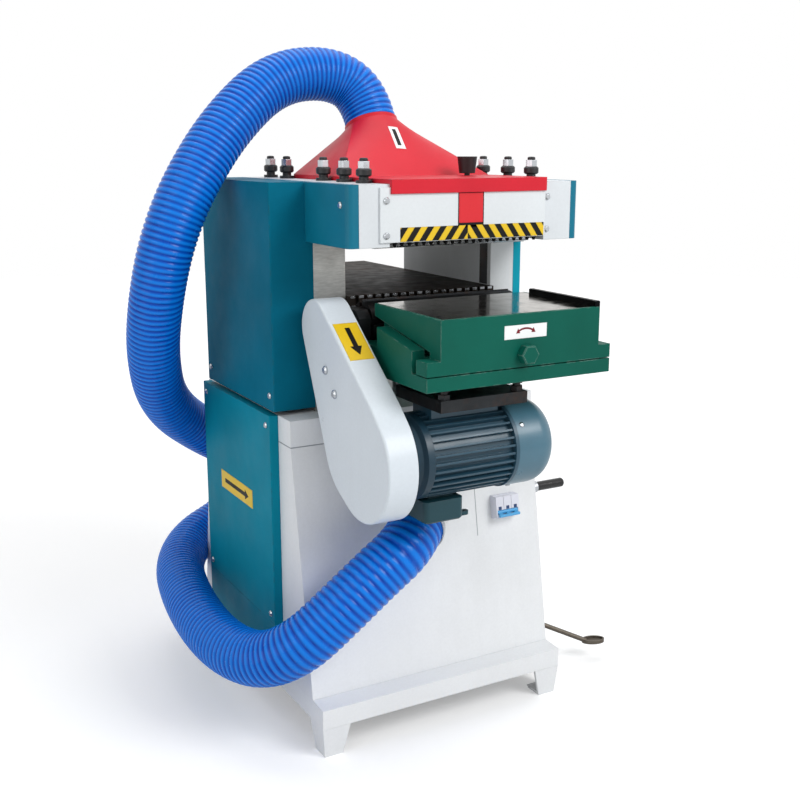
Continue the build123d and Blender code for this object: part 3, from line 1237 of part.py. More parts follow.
def lower_dust_port():
    """Stub that leaves the cabinet's front at a slant, with a neck for the hose."""
    neck_r = HOSE_BORE / 2 - NECK_GAP
    stub = tube(port_plane(), HOSE_OD / 2, neck_r - NECK_T, 0, PORT_L) - base_block()
    return stub.solids().sort_by(Axis.Y)[0] + tube(port_plane(), neck_r, neck_r - NECK_T, -NECK_L, 0)


def hose_path():
    """Straight runs joined by arcs as large as the runs allow, straight over both necks."""
    top = outlet_plane()
    port = port_plane()
    points = [top.origin, top.origin + top.z_dir * TOP_LEAD]
    points += [Vector(*point) for point in HOSE_ROUTE]
    points += [port.origin - port.z_dir * PORT_LEAD, port.origin]
    room = [0.49 * (there - here).length for here, there in zip(points, points[1:])]
    room[0] = TOP_LEAD - NECK_L
    room[-1] = PORT_LEAD - NECK_L
    radii = []
    for index in range(1, len(points) - 1):
        turn = (points[index] - points[index - 1]).get_angle(points[index + 1] - points[index])
        radii.append(min(room[index - 1], room[index]) / math.tan(math.radians(turn / 2)))
    print("hose arc radii:", [round(radius) for radius in radii])
    return Wire(FilletPolyline(*points, radius=radii).edges())


def hose_sections(path, count):
    """Planes square to the path, with X axes that turn as little as they can."""
    across = Vector(1, 0, 0)
    for index in range(count + 1):
        along = path.tangent_at(index / count)
        across = (across - along * across.dot(along)).normalized()
        yield Plane(origin=path.position_at(index / count), x_dir=across, z_dir=along)


def hose():
    """Ribbed hose: a root and a crest circle for each rib, with a plain bore."""
    path = hose_path()
    crest = HOSE_OD / 2
    circles = []
    for index, plane in enumerate(hose_sections(path, 2 * HOSE_RIBS)):
        radius = crest if index % 2 else crest - HOSE_RIB_H
        circles.append(Wire.make_circle(radius, plane))
    ribbed = Solid.make_loft(circles, ruled=True)
    bore = sweep(outlet_plane() * Circle(HOSE_BORE / 2), path=path)
    print("hose length:", round(path.length))
    return ribbed - bore


def hose_clamp():
    """Band clamp over the hose's straight lower end."""
    inner = HOSE_OD / 2 + NECK_GAP
    return tube(port_plane(), inner + CLAMP_T, inner, -CLAMP_IN - CLAMP_W, -CLAMP_IN)


NODES = {
    "base_cabinet": base_cabinet(),
    "skirt": skirt(),
    "feet": feet(),
    "cross_members": cross_members(),
    "lower_side_cover": lower_side_cover(),
    "left_column": column(PASS_L, COLUMN_L),
    "right_column": column(PASS_R, COLUMN_R),
    "left_column_cover": left_column_cover(),
    "right_column_cover": right_column_cover(),
    "head_casting": head_casting(),
    "head_end_covers": head_end_covers(),
    "front_guard_panel": front_guard_panel(),
    "cover_screws": cover_screws(),
    "dust_hood": dust_hood(),
    "roller_blocks": roller_blocks(),
    "upper_cutter_bearings": upper_cutter_bearings(),
    "chip_breaker": chip_breaker(),
    "pressure_bar": pressure_bar(),
    "adjuster_sleeves": adjuster_sleeves(),
    "adjuster_screws": adjuster_screws(),
    "lock_knob": lock_knob(),
    "kickback_shaft": kickback_shaft(),
    "kickback_fingers": kickback_fingers(),
    "infeed_roller_front": feed_roller(INFEED_Y[0], True, False),
    "infeed_roller_rear": feed_roller(INFEED_Y[1], True, False),
    "outfeed_roller_front": feed_roller(OUTFEED_Y[0], False, False),
    "outfeed_roller_rear": feed_roller(OUTFEED_Y[1], False, True),
    "upper_cutter": upper_cutter(),
    "upper_belt": upper_belt(),
    "feed_chains": feed_chains(),
    "upper_motor": motor_frame(UPPER_MOTOR_X, UPPER_CUTTER_Y, UPPER_MOTOR_Z, -1),
    "upper_motor_rotor": motor_rotor(UPPER_MOTOR_X, UPPER_CUTTER_Y, UPPER_MOTOR_Z,
                                     (UPPER_BELT_X, UPPER_MOTOR_PULLEY_R), False),
    "gear_motor": gear_motor(),
    "bed_saddle": bed_saddle(),
    "bed_table": bed_table(),
    "lower_cutter_bearings": lower_cutter_bearings(),
    "lower_cutter": lower_cutter(),
    "lower_belt": lower_belt(),
    "motor_mount": motor_mount(),
    "lower_motor": motor_frame(LOWER_MOTOR_X, LOWER_MOTOR_Y, LOWER_MOTOR_Z, 1),
    "lower_motor_bell": end_bell(LOWER_MOTOR_X, LOWER_MOTOR_Y, LOWER_MOTOR_Z),
    "lower_motor_fan_cover": fan_cover(LOWER_MOTOR_X + MOTOR_L, LOWER_MOTOR_Y, LOWER_MOTOR_Z),
    "lower_motor_rotor": motor_rotor(LOWER_MOTOR_X, LOWER_MOTOR_Y, LOWER_MOTOR_Z,
                                     (LOWER_BELT_X, LOWER_MOTOR_PULLEY_R), True),
    "terminal_box": terminal_box(),
    "belt_guard": belt_guard(),
    "guard_bolts": guard_bolts(),
    "infeed_table": infeed_table(),
    "infeed_top": infeed_top(),
    "infeed_guide_bar": infeed_guide_bar(),
    "infeed_screw": infeed_screw(),
    "lift_nut": lift_nut(),
    "lift_screw": lift_screw(),
    "crank": crank(),
    "crank_grip": crank_grip(),
    "breaker_body": breaker_body(),
    "breaker_toggle": breaker_toggle(),
    "pedal_lever": pedal_lever(),
    "lower_dust_port": lower_dust_port(),
    "hose": hose(),
    "hose_clamp": hose_clamp(),
}

for name, shape in NODES.items():
    export_step(shape, f"parts/{name}.step")
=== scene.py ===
import json
import math

import bpy
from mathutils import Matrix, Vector
from mathutils.bvhtree import BVHTree


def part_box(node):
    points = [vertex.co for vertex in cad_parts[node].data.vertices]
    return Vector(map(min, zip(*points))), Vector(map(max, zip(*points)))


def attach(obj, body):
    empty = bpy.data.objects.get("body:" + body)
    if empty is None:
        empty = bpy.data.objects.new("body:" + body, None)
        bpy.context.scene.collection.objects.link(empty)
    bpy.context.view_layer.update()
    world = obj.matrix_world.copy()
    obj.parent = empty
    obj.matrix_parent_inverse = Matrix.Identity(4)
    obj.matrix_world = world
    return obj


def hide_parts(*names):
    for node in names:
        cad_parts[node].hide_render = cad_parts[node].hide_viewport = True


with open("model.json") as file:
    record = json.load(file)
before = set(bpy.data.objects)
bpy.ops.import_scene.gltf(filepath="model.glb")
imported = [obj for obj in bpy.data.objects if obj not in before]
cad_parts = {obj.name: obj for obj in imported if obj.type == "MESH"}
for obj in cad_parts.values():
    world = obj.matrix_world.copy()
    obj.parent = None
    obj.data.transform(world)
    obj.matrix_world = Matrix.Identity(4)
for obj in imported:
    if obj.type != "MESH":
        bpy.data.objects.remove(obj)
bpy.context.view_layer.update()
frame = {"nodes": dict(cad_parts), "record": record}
nodes = frame["nodes"]
scene = bpy.context.scene
MM = 0.001
TURN = 2 * math.pi

# Camera at the photograph's place, fitted to the machine's straight edges
CAMERA_LENS = 49.23
CAMERA_SENSOR = 36.0
CAMERA_FAR = 100.0
CAMERA_AT = (-1.1933, -2.3047, 1.2792)
CAMERA_TILT = 76.91
CAMERA_TURN = -29.19


def make_camera():
    data = bpy.data.cameras.new("photo_camera")
    data.lens = CAMERA_LENS
    data.sensor_width = CAMERA_SENSOR
    data.clip_end = CAMERA_FAR
    cam = bpy.data.objects.new("photo_camera", data)
    cam.location = CAMERA_AT
    cam.rotation_euler = (math.radians(CAMERA_TILT), 0.0, math.radians(CAMERA_TURN))
    scene.collection.objects.link(cam)
    scene.camera = cam


make_camera()


# Mesh helpers
def mesh_object(name, verts, faces):
    me = bpy.data.meshes.new(name)
    me.from_pydata(verts, [], faces)
    obj = bpy.data.objects.new(name, me)
    scene.collection.objects.link(obj)
    return obj


def circle(sides):
    """The angles of points round a ring."""
    return [TURN * k / sides for k in range(sides)]


def ring_faces(rings, sides, base=0):
    """The faces between rings of points, each ring beside the next."""
    faces = []
    for i in range(rings - 1):
        a, b = base + i * sides, base + (i + 1) * sides
        for k in range(sides):
            n = (k + 1) % sides
            faces.append((a + k, a + n, b + n, b + k))
    return faces


# Colour and node helpers
def srgb(code):
    """A hex colour code as linear red, green, blue and alpha."""
    out = []
    for i in (0, 2, 4):
        v = int(code[i:i + 2], 16) / 255.0
        out.append(v / 12.92 if v <= 0.04045 else ((v + 0.055) / 1.055) ** 2.4)
    return tuple(out) + (1.0,)


def tint(col, k):
    return tuple(min(1.0, c * k) for c in col[:3]) + (1.0,)


class Tree:
    """A node tree, with short calls for the nodes used here."""

    def __init__(self, tree):
        self.tree = tree

    def feed(self, socket, value):
        """Links an output to a socket, or sets the socket's constant."""
        if hasattr(value, "is_output"):
            self.tree.links.new(value, socket)
        else:
            socket.default_value = value

    def add(self, kind, inputs=None, **settings):
        node = self.tree.nodes.new(kind)
        for key, value in settings.items():
            setattr(node, key, value)
        for key, value in (inputs or {}).items():
            self.feed(node.inputs[key], value)
        return node

    def join(self, operation, a, b):
        return self.add("ShaderNodeMath", {0: a, 1: b}, operation=operation).outputs[0]

    def span(self, fac, start, end, low=0.3, high=0.7):
        """A value that runs from start to end while fac runs from low to high."""
        ends = {"From Min": low, "From Max": high, "To Min": start, "To Max": end}
        return self.add("ShaderNodeMapRange", {"Value": fac, **ends}).outputs["Result"]


class Look(Tree):
    """A material's node tree."""

    BEVEL_SAMPLES = 4

    def __init__(self, name):
        self.mat = bpy.data.materials.new(name)
        self.mat.use_nodes = True
        super().__init__(self.mat.node_tree)
        self.bsdf = self.tree.nodes["Principled BSDF"]
        self.where = self.add("ShaderNodeTexCoord").outputs["Object"]

    def noise(self, scale, detail, rough=0.55, stretch=None):
        where = self.where
        if stretch:
            where = self.add("ShaderNodeMapping", {"Vector": where, "Scale": stretch}).outputs["Vector"]
        inputs = {"Vector": where, "Scale": scale, "Detail": detail, "Roughness": rough}
        return self.add("ShaderNodeTexNoise", inputs).outputs["Fac"]

    def ramp(self, fac, dark, light, low=0.3, high=0.7):
        node = self.add("ShaderNodeValToRGB", {"Fac": fac})
        for item, place, col in zip(node.color_ramp.elements, (low, high), (dark, light)):
            item.position = place
            item.color = col
        return node.outputs["Color"]

    def blend(self, fac, a, b):
        return self.add("ShaderNodeMix", {0: fac, 6: a, 7: b}, data_type="RGBA").outputs[2]

    def bevel(self, radius):
        return self.add("ShaderNodeBevel", {"Radius": radius}, samples=self.BEVEL_SAMPLES).outputs["Normal"]

    def flatness(self, radius):
        """1 on flats and less along edges, where the rounded normal leaves the true one."""
        true = self.add("ShaderNodeNewGeometry").outputs["Normal"]
        pair = {0: self.bevel(radius), 1: true}
        return self.add("ShaderNodeVectorMath", pair, operation="DOT_PRODUCT").outputs["Value"]

    def surface(self, height, strength, depth, radius):
        """Rounded edges, with a fine bump on top."""
        inputs = {"Height": height, "Strength": strength, "Distance": depth, "Normal": self.bevel(radius)}
        self.put(Normal=self.add("ShaderNodeBump", inputs).outputs["Normal"])

    def put(self, **values):
        for key, value in values.items():
            self.feed(self.bsdf.inputs[key.replace("_", " ")], value)


# Kinds of finish: edge radii and bump depths in metres
GRIME = srgb("6E675C")
RUST = srgb("6A4630")
PAINT_EDGE, WORN_EDGE, METAL_EDGE, PLASTIC_EDGE, FILM_EDGE = 0.002, 0.003, 0.001, 0.0015, 0.001
PEEL_DEPTH, STREAK_DEPTH, PIT_DEPTH, FILM_DEPTH = 0.0006, 0.0005, 0.0004, 0.0005
SPECKS, SPECK_TONE = 0.10, 0.70
STREAK_TONE = 0.72
PLASTIC_GRAIN = 700.0


def paint(name, code, rough=0.36, coat=0.08, spec=0.35, mottle=0.10, grain=900.0, bump=0.05,
          wear=None, dirt=0.0):
    """Sprayed machine paint: slow colour drift, specks, grime, worn edges and orange peel."""
    m = Look(name)
    base = srgb(code)
    drift = m.noise(scale=5.0, detail=4.0)
    col = m.ramp(drift, tint(base, 1.0 - mottle), tint(base, 1.0 + mottle), high=0.72)
    speck = m.noise(scale=160.0, detail=2.0)
    col = m.blend(m.span(speck, 0.0, SPECKS), col, tint(base, SPECK_TONE))
    if dirt:
        smear = m.noise(scale=3.2, detail=6.0, rough=0.7, stretch=(1.0, 1.0, 0.35))
        col = m.blend(m.span(smear, 0.0, dirt, low=0.48, high=0.74), col, GRIME)
    if wear:
        rub = m.span(m.flatness(WORN_EDGE), 1.0, 0.0, low=0.93, high=0.995)
        patch = m.span(m.noise(scale=45.0, detail=4.0), 0.0, 1.0, low=0.46, high=0.60)
        col = m.blend(m.join("MULTIPLY", rub, patch), col, srgb(wear))
    m.surface(m.noise(scale=grain, detail=2.0), bump, PEEL_DEPTH, PAINT_EDGE)
    uneven = m.noise(scale=14.0, detail=5.0)
    m.put(Base_Color=col, Roughness=m.span(uneven, rough - 0.07, rough + 0.09))
    m.put(Coat_Weight=coat, Coat_Roughness=0.15, Specular_IOR_Level=spec)
    return m.mat


def metal(name, code, rough=0.28, streak=(4.0, 260.0, 4.0), bump=0.06, rust=0.0, full=1.0, spec=0.5):
    """Machined or rolled metal with tool streaks along one way."""
    m = Look(name)
    base = srgb(code)
    lines = m.noise(scale=1.0, detail=5.0, rough=0.6, stretch=streak)
    col = m.ramp(lines, tint(base, STREAK_TONE), base)
    if rust:
        spot = m.noise(scale=22.0, detail=6.0, rough=0.65)
        col = m.blend(m.span(spot, 0.0, rust, low=0.50, high=0.72), col, RUST)
    m.surface(lines, bump, STREAK_DEPTH, METAL_EDGE)
    uneven = m.noise(scale=30.0, detail=4.0)
    m.put(Base_Color=col, Roughness=m.span(uneven, rough - 0.08, rough + 0.12))
    m.put(Metallic=full, Specular_IOR_Level=spec)
    return m.mat


def plastic(name, code, rough=0.42, bump=0.12, lift=0.25, coat=0.0):
    """Moulded plastic with a fine grain and handling marks."""
    m = Look(name)
    base = srgb(code)
    soft = m.noise(scale=11.0, detail=4.0)
    col = m.ramp(soft, tint(base, 1.0 - 0.4 * lift), tint(base, 1.0 + lift))
    m.surface(m.noise(scale=PLASTIC_GRAIN, detail=2.0), bump, PIT_DEPTH, PLASTIC_EDGE)
    uneven = m.noise(scale=40.0, detail=5.0)
    m.put(Base_Color=col, Roughness=m.span(uneven, rough - 0.10, rough + 0.10))
    m.put(Coat_Weight=coat, Coat_Roughness=0.08)
    return m.mat


def hose_film():
    """Glossy blue ribbed film, with painted shade darkening the grooves and a painted highlight lightening
    the crests.
    """
    m = Look("hose_film")
    groove = m.add("ShaderNodeAttribute", attribute_name="groove").outputs["Fac"]
    film = m.ramp(m.noise(scale=9.0, detail=4.0), srgb("0452BC"), srgb("086CD0"))
    # Painted highlight: the crests are blended towards a lighter blue
    crest = m.blend(m.span(groove, 1.0, 0.0, low=0.02, high=0.22), film, srgb("0C7AE0"))
    m.surface(m.noise(scale=500.0, detail=3.0), strength=0.05, depth=FILM_DEPTH, radius=FILM_EDGE)
    uneven = m.noise(scale=25.0, detail=4.0)
    # Painted shade: the grooves are blended towards a darker blue
    m.put(Base_Color=m.blend(groove, crest, srgb("03309A")), Roughness=m.span(uneven, 0.18, 0.32))
    m.put(Coat_Weight=0.03, Coat_Roughness=0.12, Specular_IOR_Level=0.18)
    return m.mat


# Dust hose: the route's points in metres are the control points of one NURBS spline
ROUTE = [
    (0.0375, 0.035, 1.322), (0.0375, 0.0686, 1.3941), (-0.038, 0.097, 1.447),
    (-0.182, 0.092, 1.430), (-0.310, 0.056, 1.330), (-0.412, 0.020, 1.206),
    (-0.472, 0.014, 1.085), (-0.496, 0.042, 0.955), (-0.490, 0.115, 0.815),
    (-0.433, 0.240, 0.668), (-0.290, 0.362, 0.548), (-0.160, 0.415, 0.470),
    (-0.125, 0.425, 0.365), (-0.210, 0.430, 0.285), (-0.325, 0.398, 0.250),
    (-0.405, 0.275, 0.230), (-0.440, 0.100, 0.218), (-0.450, -0.070, 0.204),
    (-0.437, -0.200, 0.200), (-0.404, -0.302, 0.214), (-0.352, -0.374, 0.264),
    (-0.270, -0.396, 0.338), (-0.190, -0.402, 0.402), (-0.1054, -0.4014, 0.4570),
    (-0.056, -0.349, 0.478),
]
HOSE_D = 0.120
HOSE_WALL = 0.004
HOSE_GROOVE = 0.0036
# Rib spacing at distances from the hood: the spiral is pressed together or drawn out along the run
HOSE_PITCH = [
    (0.0, 0.0125), (0.30, 0.0135), (0.48, 0.0140), (0.76, 0.0121), (1.00, 0.0124), (1.20, 0.0140),
    (1.40, 0.0152), (2.40, 0.0145), (2.75, 0.0138), (2.95, 0.0162), (3.30, 0.0165),
]
# The hose's mesh: rings to each rib, points to a ring, how round the crests are, and how fast the painted
# shade fades out of the grooves
RIB_RINGS = 7
HOSE_SIDES = 52
CREST_POWER = 0.6
GROOVE_SHADE_POWER = 1.3
# Step in metres at which ribs are counted
RIB_STEP = 0.00005
# The cabinet's outside in metres: half widths at its band, the slope of its front and back, and its height
CABINET_X, CABINET_Y, CABINET_SLOPE, CABINET_Z = 0.3095, 0.250, 0.1627, (0.115, 0.656)
LEAN_GAP = 0.0005
LEAN_STEP = 0.004
HOSE_FILM = hose_film()


def read_line(points, fine=24):
    """Points along the NURBS spline with these control points."""
    data = bpy.data.curves.new("route", "CURVE")
    data.dimensions = "3D"
    data.resolution_u = fine
    spline = data.splines.new("NURBS")
    spline.points.add(len(points) - 1)
    for p, c in zip(spline.points, points):
        p.co = (*c, 1.0)
    spline.order_u = 3
    spline.use_endpoint_u = True
    obj = bpy.data.objects.new("route", data)
    scene.collection.objects.link(obj)
    dg = bpy.context.evaluated_depsgraph_get()
    mesh = bpy.data.meshes.new_from_object(obj.evaluated_get(dg))
    line = [v.co.copy() for v in mesh.vertices]
    bpy.data.meshes.remove(mesh)
    bpy.data.objects.remove(obj)
    bpy.data.curves.remove(data)
    return line


def pitch_at(far):
    """Rib spacing at a distance along the hose."""
    for (a, low), (b, high) in zip(HOSE_PITCH, HOSE_PITCH[1:]):
        if far <= b:
            return low + (high - low) * (far - a) / (b - a)
    return HOSE_PITCH[-1][1]


def ribbed(line):
    """Points along the same line, so many to each rib, and its length."""
    out, total, ribs = [line[0].copy()], 0.0, 0.0
    for a, b in zip(line, line[1:]):
        run = (b - a).length
        parts = max(1, math.ceil(run / RIB_STEP))
        for k in range(1, parts + 1):
            ribs += run / parts / pitch_at(total + run * k / parts)
            if ribs * RIB_RINGS >= len(out):
                out.append(a.lerp(b, k / parts))
        total += run
    out[-1] = line[-1].copy()
    return out, total


def leaning(spot, middle):
    """A point of the film, drawn in where the hose leans on the cabinet's back corner."""
    low, high = CABINET_Z
    while (low < spot.z < high and abs(spot.x) < CABINET_X + LEAN_GAP
           and abs(spot.y) < CABINET_Y + CABINET_SLOPE * (high - spot.z) + LEAN_GAP):
        spot = spot.lerp(middle, LEAN_STEP)
    return spot


def crest_at(ring, angle):
    """1 on the top of the spiral rib and 0 at the bottom of its groove."""
    place = (ring / RIB_RINGS - angle / TURN) % 1.0
    return abs(math.sin(math.pi * place)) ** CREST_POWER


def hose_mesh(line):
    """The ribbed tube along the line, with the painted shade of its grooves as a point attribute; its
    frames turn as little as they can.
    """
    verts, shade = [], []
    side = (line[1] - line[0]).normalized().orthogonal().normalized()
    for i, p in enumerate(line):
        before, after = line[max(0, i - 1)], line[min(len(line) - 1, i + 1)]
        along = (after - before).normalized()
        side = (side - along * side.dot(along)).normalized()
        up = along.cross(side)
        for angle in circle(HOSE_SIDES):
            low = 1.0 - crest_at(i, angle)
            r = HOSE_D / 2 - HOSE_GROOVE * low
            verts.append(leaning(p + (side * math.cos(angle) + up * math.sin(angle)) * r, p))
            # Painted shade, darkest at the bottom of each groove
            shade.append(low ** GROOVE_SHADE_POWER)
    obj = mesh_object("dust_hose", verts, ring_faces(len(line), HOSE_SIDES))
    obj.data.attributes.new("groove", "FLOAT", "POINT").data.foreach_set("value", shade)
    for face in obj.data.polygons:
        face.use_smooth = True
    return obj


def make_hose():
    line, total = ribbed(read_line(ROUTE))
    obj = hose_mesh(line)
    wall = obj.modifiers.new("wall", "SOLIDIFY")
    wall.thickness = HOSE_WALL
    wall.offset = -1.0
    obj.data.materials.append(HOSE_FILM)
    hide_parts("hose")
    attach(obj, "frame")


make_hose()

# Floor, world and lamps
BARE_WHITE = (1.0, 1.0, 1.0, 1.0)
FLOOR_R, FLOOR_SIDES = 9.0, 60
FLOOR_DARK, FLOOR_LIGHT = (0.80, 0.81, 0.82, 1.0), (0.86, 0.86, 0.86, 1.0)
# Strength and distance of the floor's glow, under the machine and far from it
GLOW_NEAR, GLOW_FAR = (0.28, 1.0), (0.62, 4.5)
WORLD_LIGHT, WORLD_SEEN = 0.55, 1.0
# Each lamp's name, place, aim, power and size
LAMPS = [
    ("key", (1.6, -3.4, 3.2), (0.0, -0.1, 0.7), 105.0, 2.2),
    ("fill", (-3.4, -1.2, 1.9), (0.0, 0.0, 0.7), 24.0, 2.6),
    ("top", (0.2, 0.6, 4.2), (0.0, 0.0, 0.6), 40.0, 3.0),
]


def floor_look():
    """A pale floor with a glow that only the camera sees."""
    m = Look("stage_floor")
    m.put(Base_Color=m.ramp(m.noise(scale=60.0, detail=3.0), FLOOR_DARK, FLOOR_LIGHT))
    m.put(Roughness=0.75, Specular_IOR_Level=0.2)
    away = m.add("ShaderNodeVectorMath", {0: m.where}, operation="LENGTH").outputs["Value"]
    level = m.span(away, GLOW_NEAR[0], GLOW_FAR[0], low=GLOW_NEAR[1], high=GLOW_FAR[1])
    seen = m.add("ShaderNodeLightPath").outputs["Is Camera Ray"]
    glow = m.add("ShaderNodeEmission", {"Color": BARE_WHITE, "Strength": m.join("MULTIPLY", seen, level)})
    both = m.add("ShaderNodeAddShader", {0: m.bsdf.outputs[0], 1: glow.outputs[0]})
    m.feed(m.tree.nodes["Material Output"].inputs["Surface"], both.outputs[0])
    return m.mat


def make_floor():
    verts = [(FLOOR_R * math.cos(a), FLOOR_R * math.sin(a), 0.0) for a in circle(FLOOR_SIDES)]
    floor = mesh_object("floor", verts, [tuple(range(FLOOR_SIDES))])
    floor.data.materials.append(floor_look())


def make_world():
    """A white room: full where it is seen or mirrored, dimmer as a light."""
    world = bpy.data.worlds.new("studio")
    scene.world = world
    world.use_nodes = True
    w = Tree(world.node_tree)
    ray = w.add("ShaderNodeLightPath").outputs
    seen = w.join("MAXIMUM", ray["Is Camera Ray"], ray["Is Transmission Ray"])
    seen = w.join("MAXIMUM", seen, ray["Is Glossy Ray"])
    room = world.node_tree.nodes["Background"].inputs
    w.feed(room["Color"], BARE_WHITE)
    w.feed(room["Strength"], w.span(seen, WORLD_LIGHT, WORLD_SEEN, low=0.0, high=1.0))


def make_lamps():
    for name, where, aim, power, size in LAMPS:
        data = bpy.data.lights.new(name, "AREA")
        data.energy = power
        data.shape = "DISK"
        data.size = size
        lamp = bpy.data.objects.new(name, data)
        lamp.location = where
        lamp.rotation_euler = (Vector(aim) - Vector(where)).to_track_quat("-Z", "Y").to_euler()
        scene.collection.objects.link(lamp)


make_floor()
make_world()
make_lamps()

# Paints
TEAL_FINISH = {"mottle": 0.13, "bump": 0.16, "grain": 520.0, "wear": "2A5660"}
MOTOR_FINISH = {"mottle": 0.16, "bump": 0.22, "grain": 460.0, "dirt": 0.12}
WHITE = paint("white_paint", "E6E8EA", rough=0.38, mottle=0.025, dirt=0.10)
PANEL = paint("panel_paint", "DCE1E4", rough=0.30, mottle=0.02, dirt=0.05)
HEAD = paint("head_paint", "D6DBDF", rough=0.45, mottle=0.04, bump=0.22, grain=420.0, dirt=0.10)
TEAL = paint("teal_paint", "076680", rough=0.46, spec=0.03, coat=0.0, **TEAL_FINISH)
TEAL_LOW = paint("teal_low_paint", "088098", rough=0.46, spec=0.05, coat=0.0, **TEAL_FINISH)
# A lighter copy of the teal for the right column cover: painted highlight for the light on its front strip
TEAL_RIGHT_LIT = paint("teal_right_lit_paint", "0A98AE", rough=0.46, spec=0.10, coat=0.0, **TEAL_FINISH)
# A lighter copy of the teal for the head end covers: painted highlight for the light on their front strips
TEAL_TOP_LIT = paint("teal_top_lit_paint", "086E88", rough=0.40, spec=0.22, coat=0.05, **TEAL_FINISH)
RED = paint("red_paint", "CE2232", rough=0.40, spec=0.20, coat=0.02, mottle=0.07, wear="8A1A22")
GREEN = paint("green_paint", "08584A", rough=0.46, spec=0.12, coat=0.0, mottle=0.14, bump=0.25,
              grain=380.0, wear="64847A")
GUARD = paint("guard_paint", "D4DCE3", rough=0.34, mottle=0.03, dirt=0.08)
# Fan cover paint: glossy, as the smooth cover is, and lighter than the motor paint as a painted highlight
COWL_LIT = paint("cowl_lit_paint", "40687A", rough=0.31, spec=0.5, coat=0.22, mottle=0.12, bump=0.12,
             grain=460.0, dirt=0.10)
MOTOR = paint("motor_paint", "25495B", rough=0.38, spec=0.45, coat=0.15, **MOTOR_FINISH)
BELL = paint("bell_paint", "1A3848", rough=0.40, spec=0.35, coat=0.05, **MOTOR_FINISH)
BOX = paint("box_paint", "173F48", rough=0.44, spec=0.3, mottle=0.14, bump=0.22, grain=460.0, dirt=0.10)
CAST = paint("cast_paint", "DDE1E3", rough=0.46, mottle=0.06, bump=0.30, grain=320.0, dirt=0.18)
HAZARD = paint("hazard_yellow", "E6C01C", rough=0.4, mottle=0.06, wear="8A7A30")
# Grey for the cabinet's seam, and for the painted shade in the crease under the cabinet's band
SEAM_AND_CREASE_SHADE = paint("seam_and_crease_shade_grey", "9EA3A8", rough=0.5, spec=0.2, coat=0.0, mottle=0.1)
SIGN = paint("sign_maroon", "7A1C28", rough=0.42, spec=0.25, coat=0.0, mottle=0.08)
INK = paint("plate_black", "0B0B0D", rough=0.46, spec=0.2, coat=0.0, mottle=0.2)
PLATE_RED = paint("plate_red", "D8242E", rough=0.36, mottle=0.05)
PLATE_WHITE = paint("plate_white", "EEF0F0", rough=0.34, mottle=0.02, dirt=0.06)

# Metals
ALONG_FEED = (320.0, 6.0, 6.0)
MACHINED = metal("machined_cast", "BFC0BE", rough=0.38, streak=(60.0, 60.0, 420.0), full=0.85, rust=0.12)
STEEL = metal("bright_steel", "C8CCD0", rough=0.24)
TABLE = metal("table_steel", "A29D94", rough=0.11, streak=ALONG_FEED, bump=0.012, rust=0.06)
BED = metal("bed_steel", "28231F", rough=0.52, streak=ALONG_FEED, bump=0.04, rust=0.16, full=0.0, spec=0.10)
DARK = metal("dark_steel", "3A3C3E", rough=0.46, streak=(40.0, 40.0, 40.0), rust=0.25, bump=0.15)
BLACKED = metal("blacked_steel", "17181A", rough=0.36, streak=(60.0, 60.0, 60.0), bump=0.10)
SPOON = metal("lever_steel", "6E675E", rough=0.40, streak=(50.0, 50.0, 50.0), rust=0.20, bump=0.12)

# Plastics
BLACK = plastic("black_plastic", "121315", rough=0.40, lift=0.5)
GRIP = plastic("grip_plastic", "070708", rough=0.20, bump=0.02, lift=0.4, coat=0.12)
BREAKER = plastic("breaker_plastic", "D9DAE4", rough=0.38, lift=0.06)
TOGGLE = plastic("toggle_plastic", "4AA5DC", rough=0.32, lift=0.08)
WINDOW = plastic("window_blue", "1B3A68", rough=0.40, lift=0.2)
RUBBER = plastic("belt_rubber", "1B1B1C", rough=0.72, bump=0.3, lift=0.4)

# Materials by node; a node that isn't named here takes its slot's steel
LOOK = {
    "base_cabinet": WHITE, "skirt": WHITE, "feet": WHITE, "lower_dust_port": WHITE,
    "front_guard_panel": PANEL, "head_casting": HEAD,
    "left_column": MACHINED, "right_column": CAST,
    "lower_side_cover": TEAL_LOW, "left_column_cover": TEAL, "right_column_cover": TEAL_RIGHT_LIT,
    "head_end_covers": TEAL_TOP_LIT, "belt_guard": GUARD, "dust_hood": RED,
    "infeed_table": GREEN, "bed_saddle": GREEN, "infeed_screw": GREEN,
    "lower_motor": MOTOR, "lower_motor_bell": BELL, "lower_motor_fan_cover": COWL_LIT,
    "terminal_box": BOX, "upper_motor": MOTOR, "gear_motor": MOTOR,
    "infeed_top": TABLE, "bed_table": BED, "infeed_guide_bar": BLACKED,
    "pedal_lever": SPOON, "lower_cutter": DARK, "kickback_fingers": BLACKED, "motor_mount": DARK,
    "adjuster_sleeves": BLACK, "lock_knob": BLACK, "crank_grip": GRIP,
    "breaker_body": BREAKER, "breaker_toggle": TOGGLE,
    "upper_belt": RUBBER, "lower_belt": RUBBER, "hose": HOSE_FILM,
}
BY_SLOT = {"steel": STEEL, "dark_steel": DARK}
slot_of = {s["node"]: s.get("material_slot") for s in frame["record"]["subparts"]}
for name, obj in nodes.items():
    mat = LOOK.get(name) or BY_SLOT.get(slot_of.get(name), STEEL)
    obj.data.materials.clear()
    obj.data.materials.append(mat)


# Small pieces, in mm
def piece(name, verts, faces, mat, body):
    obj = mesh_object(name, [Vector(v) * MM for v in verts], faces)
    obj.data.validate()
    obj.data.update()
    obj.data.materials.append(mat)
    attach(obj, body)


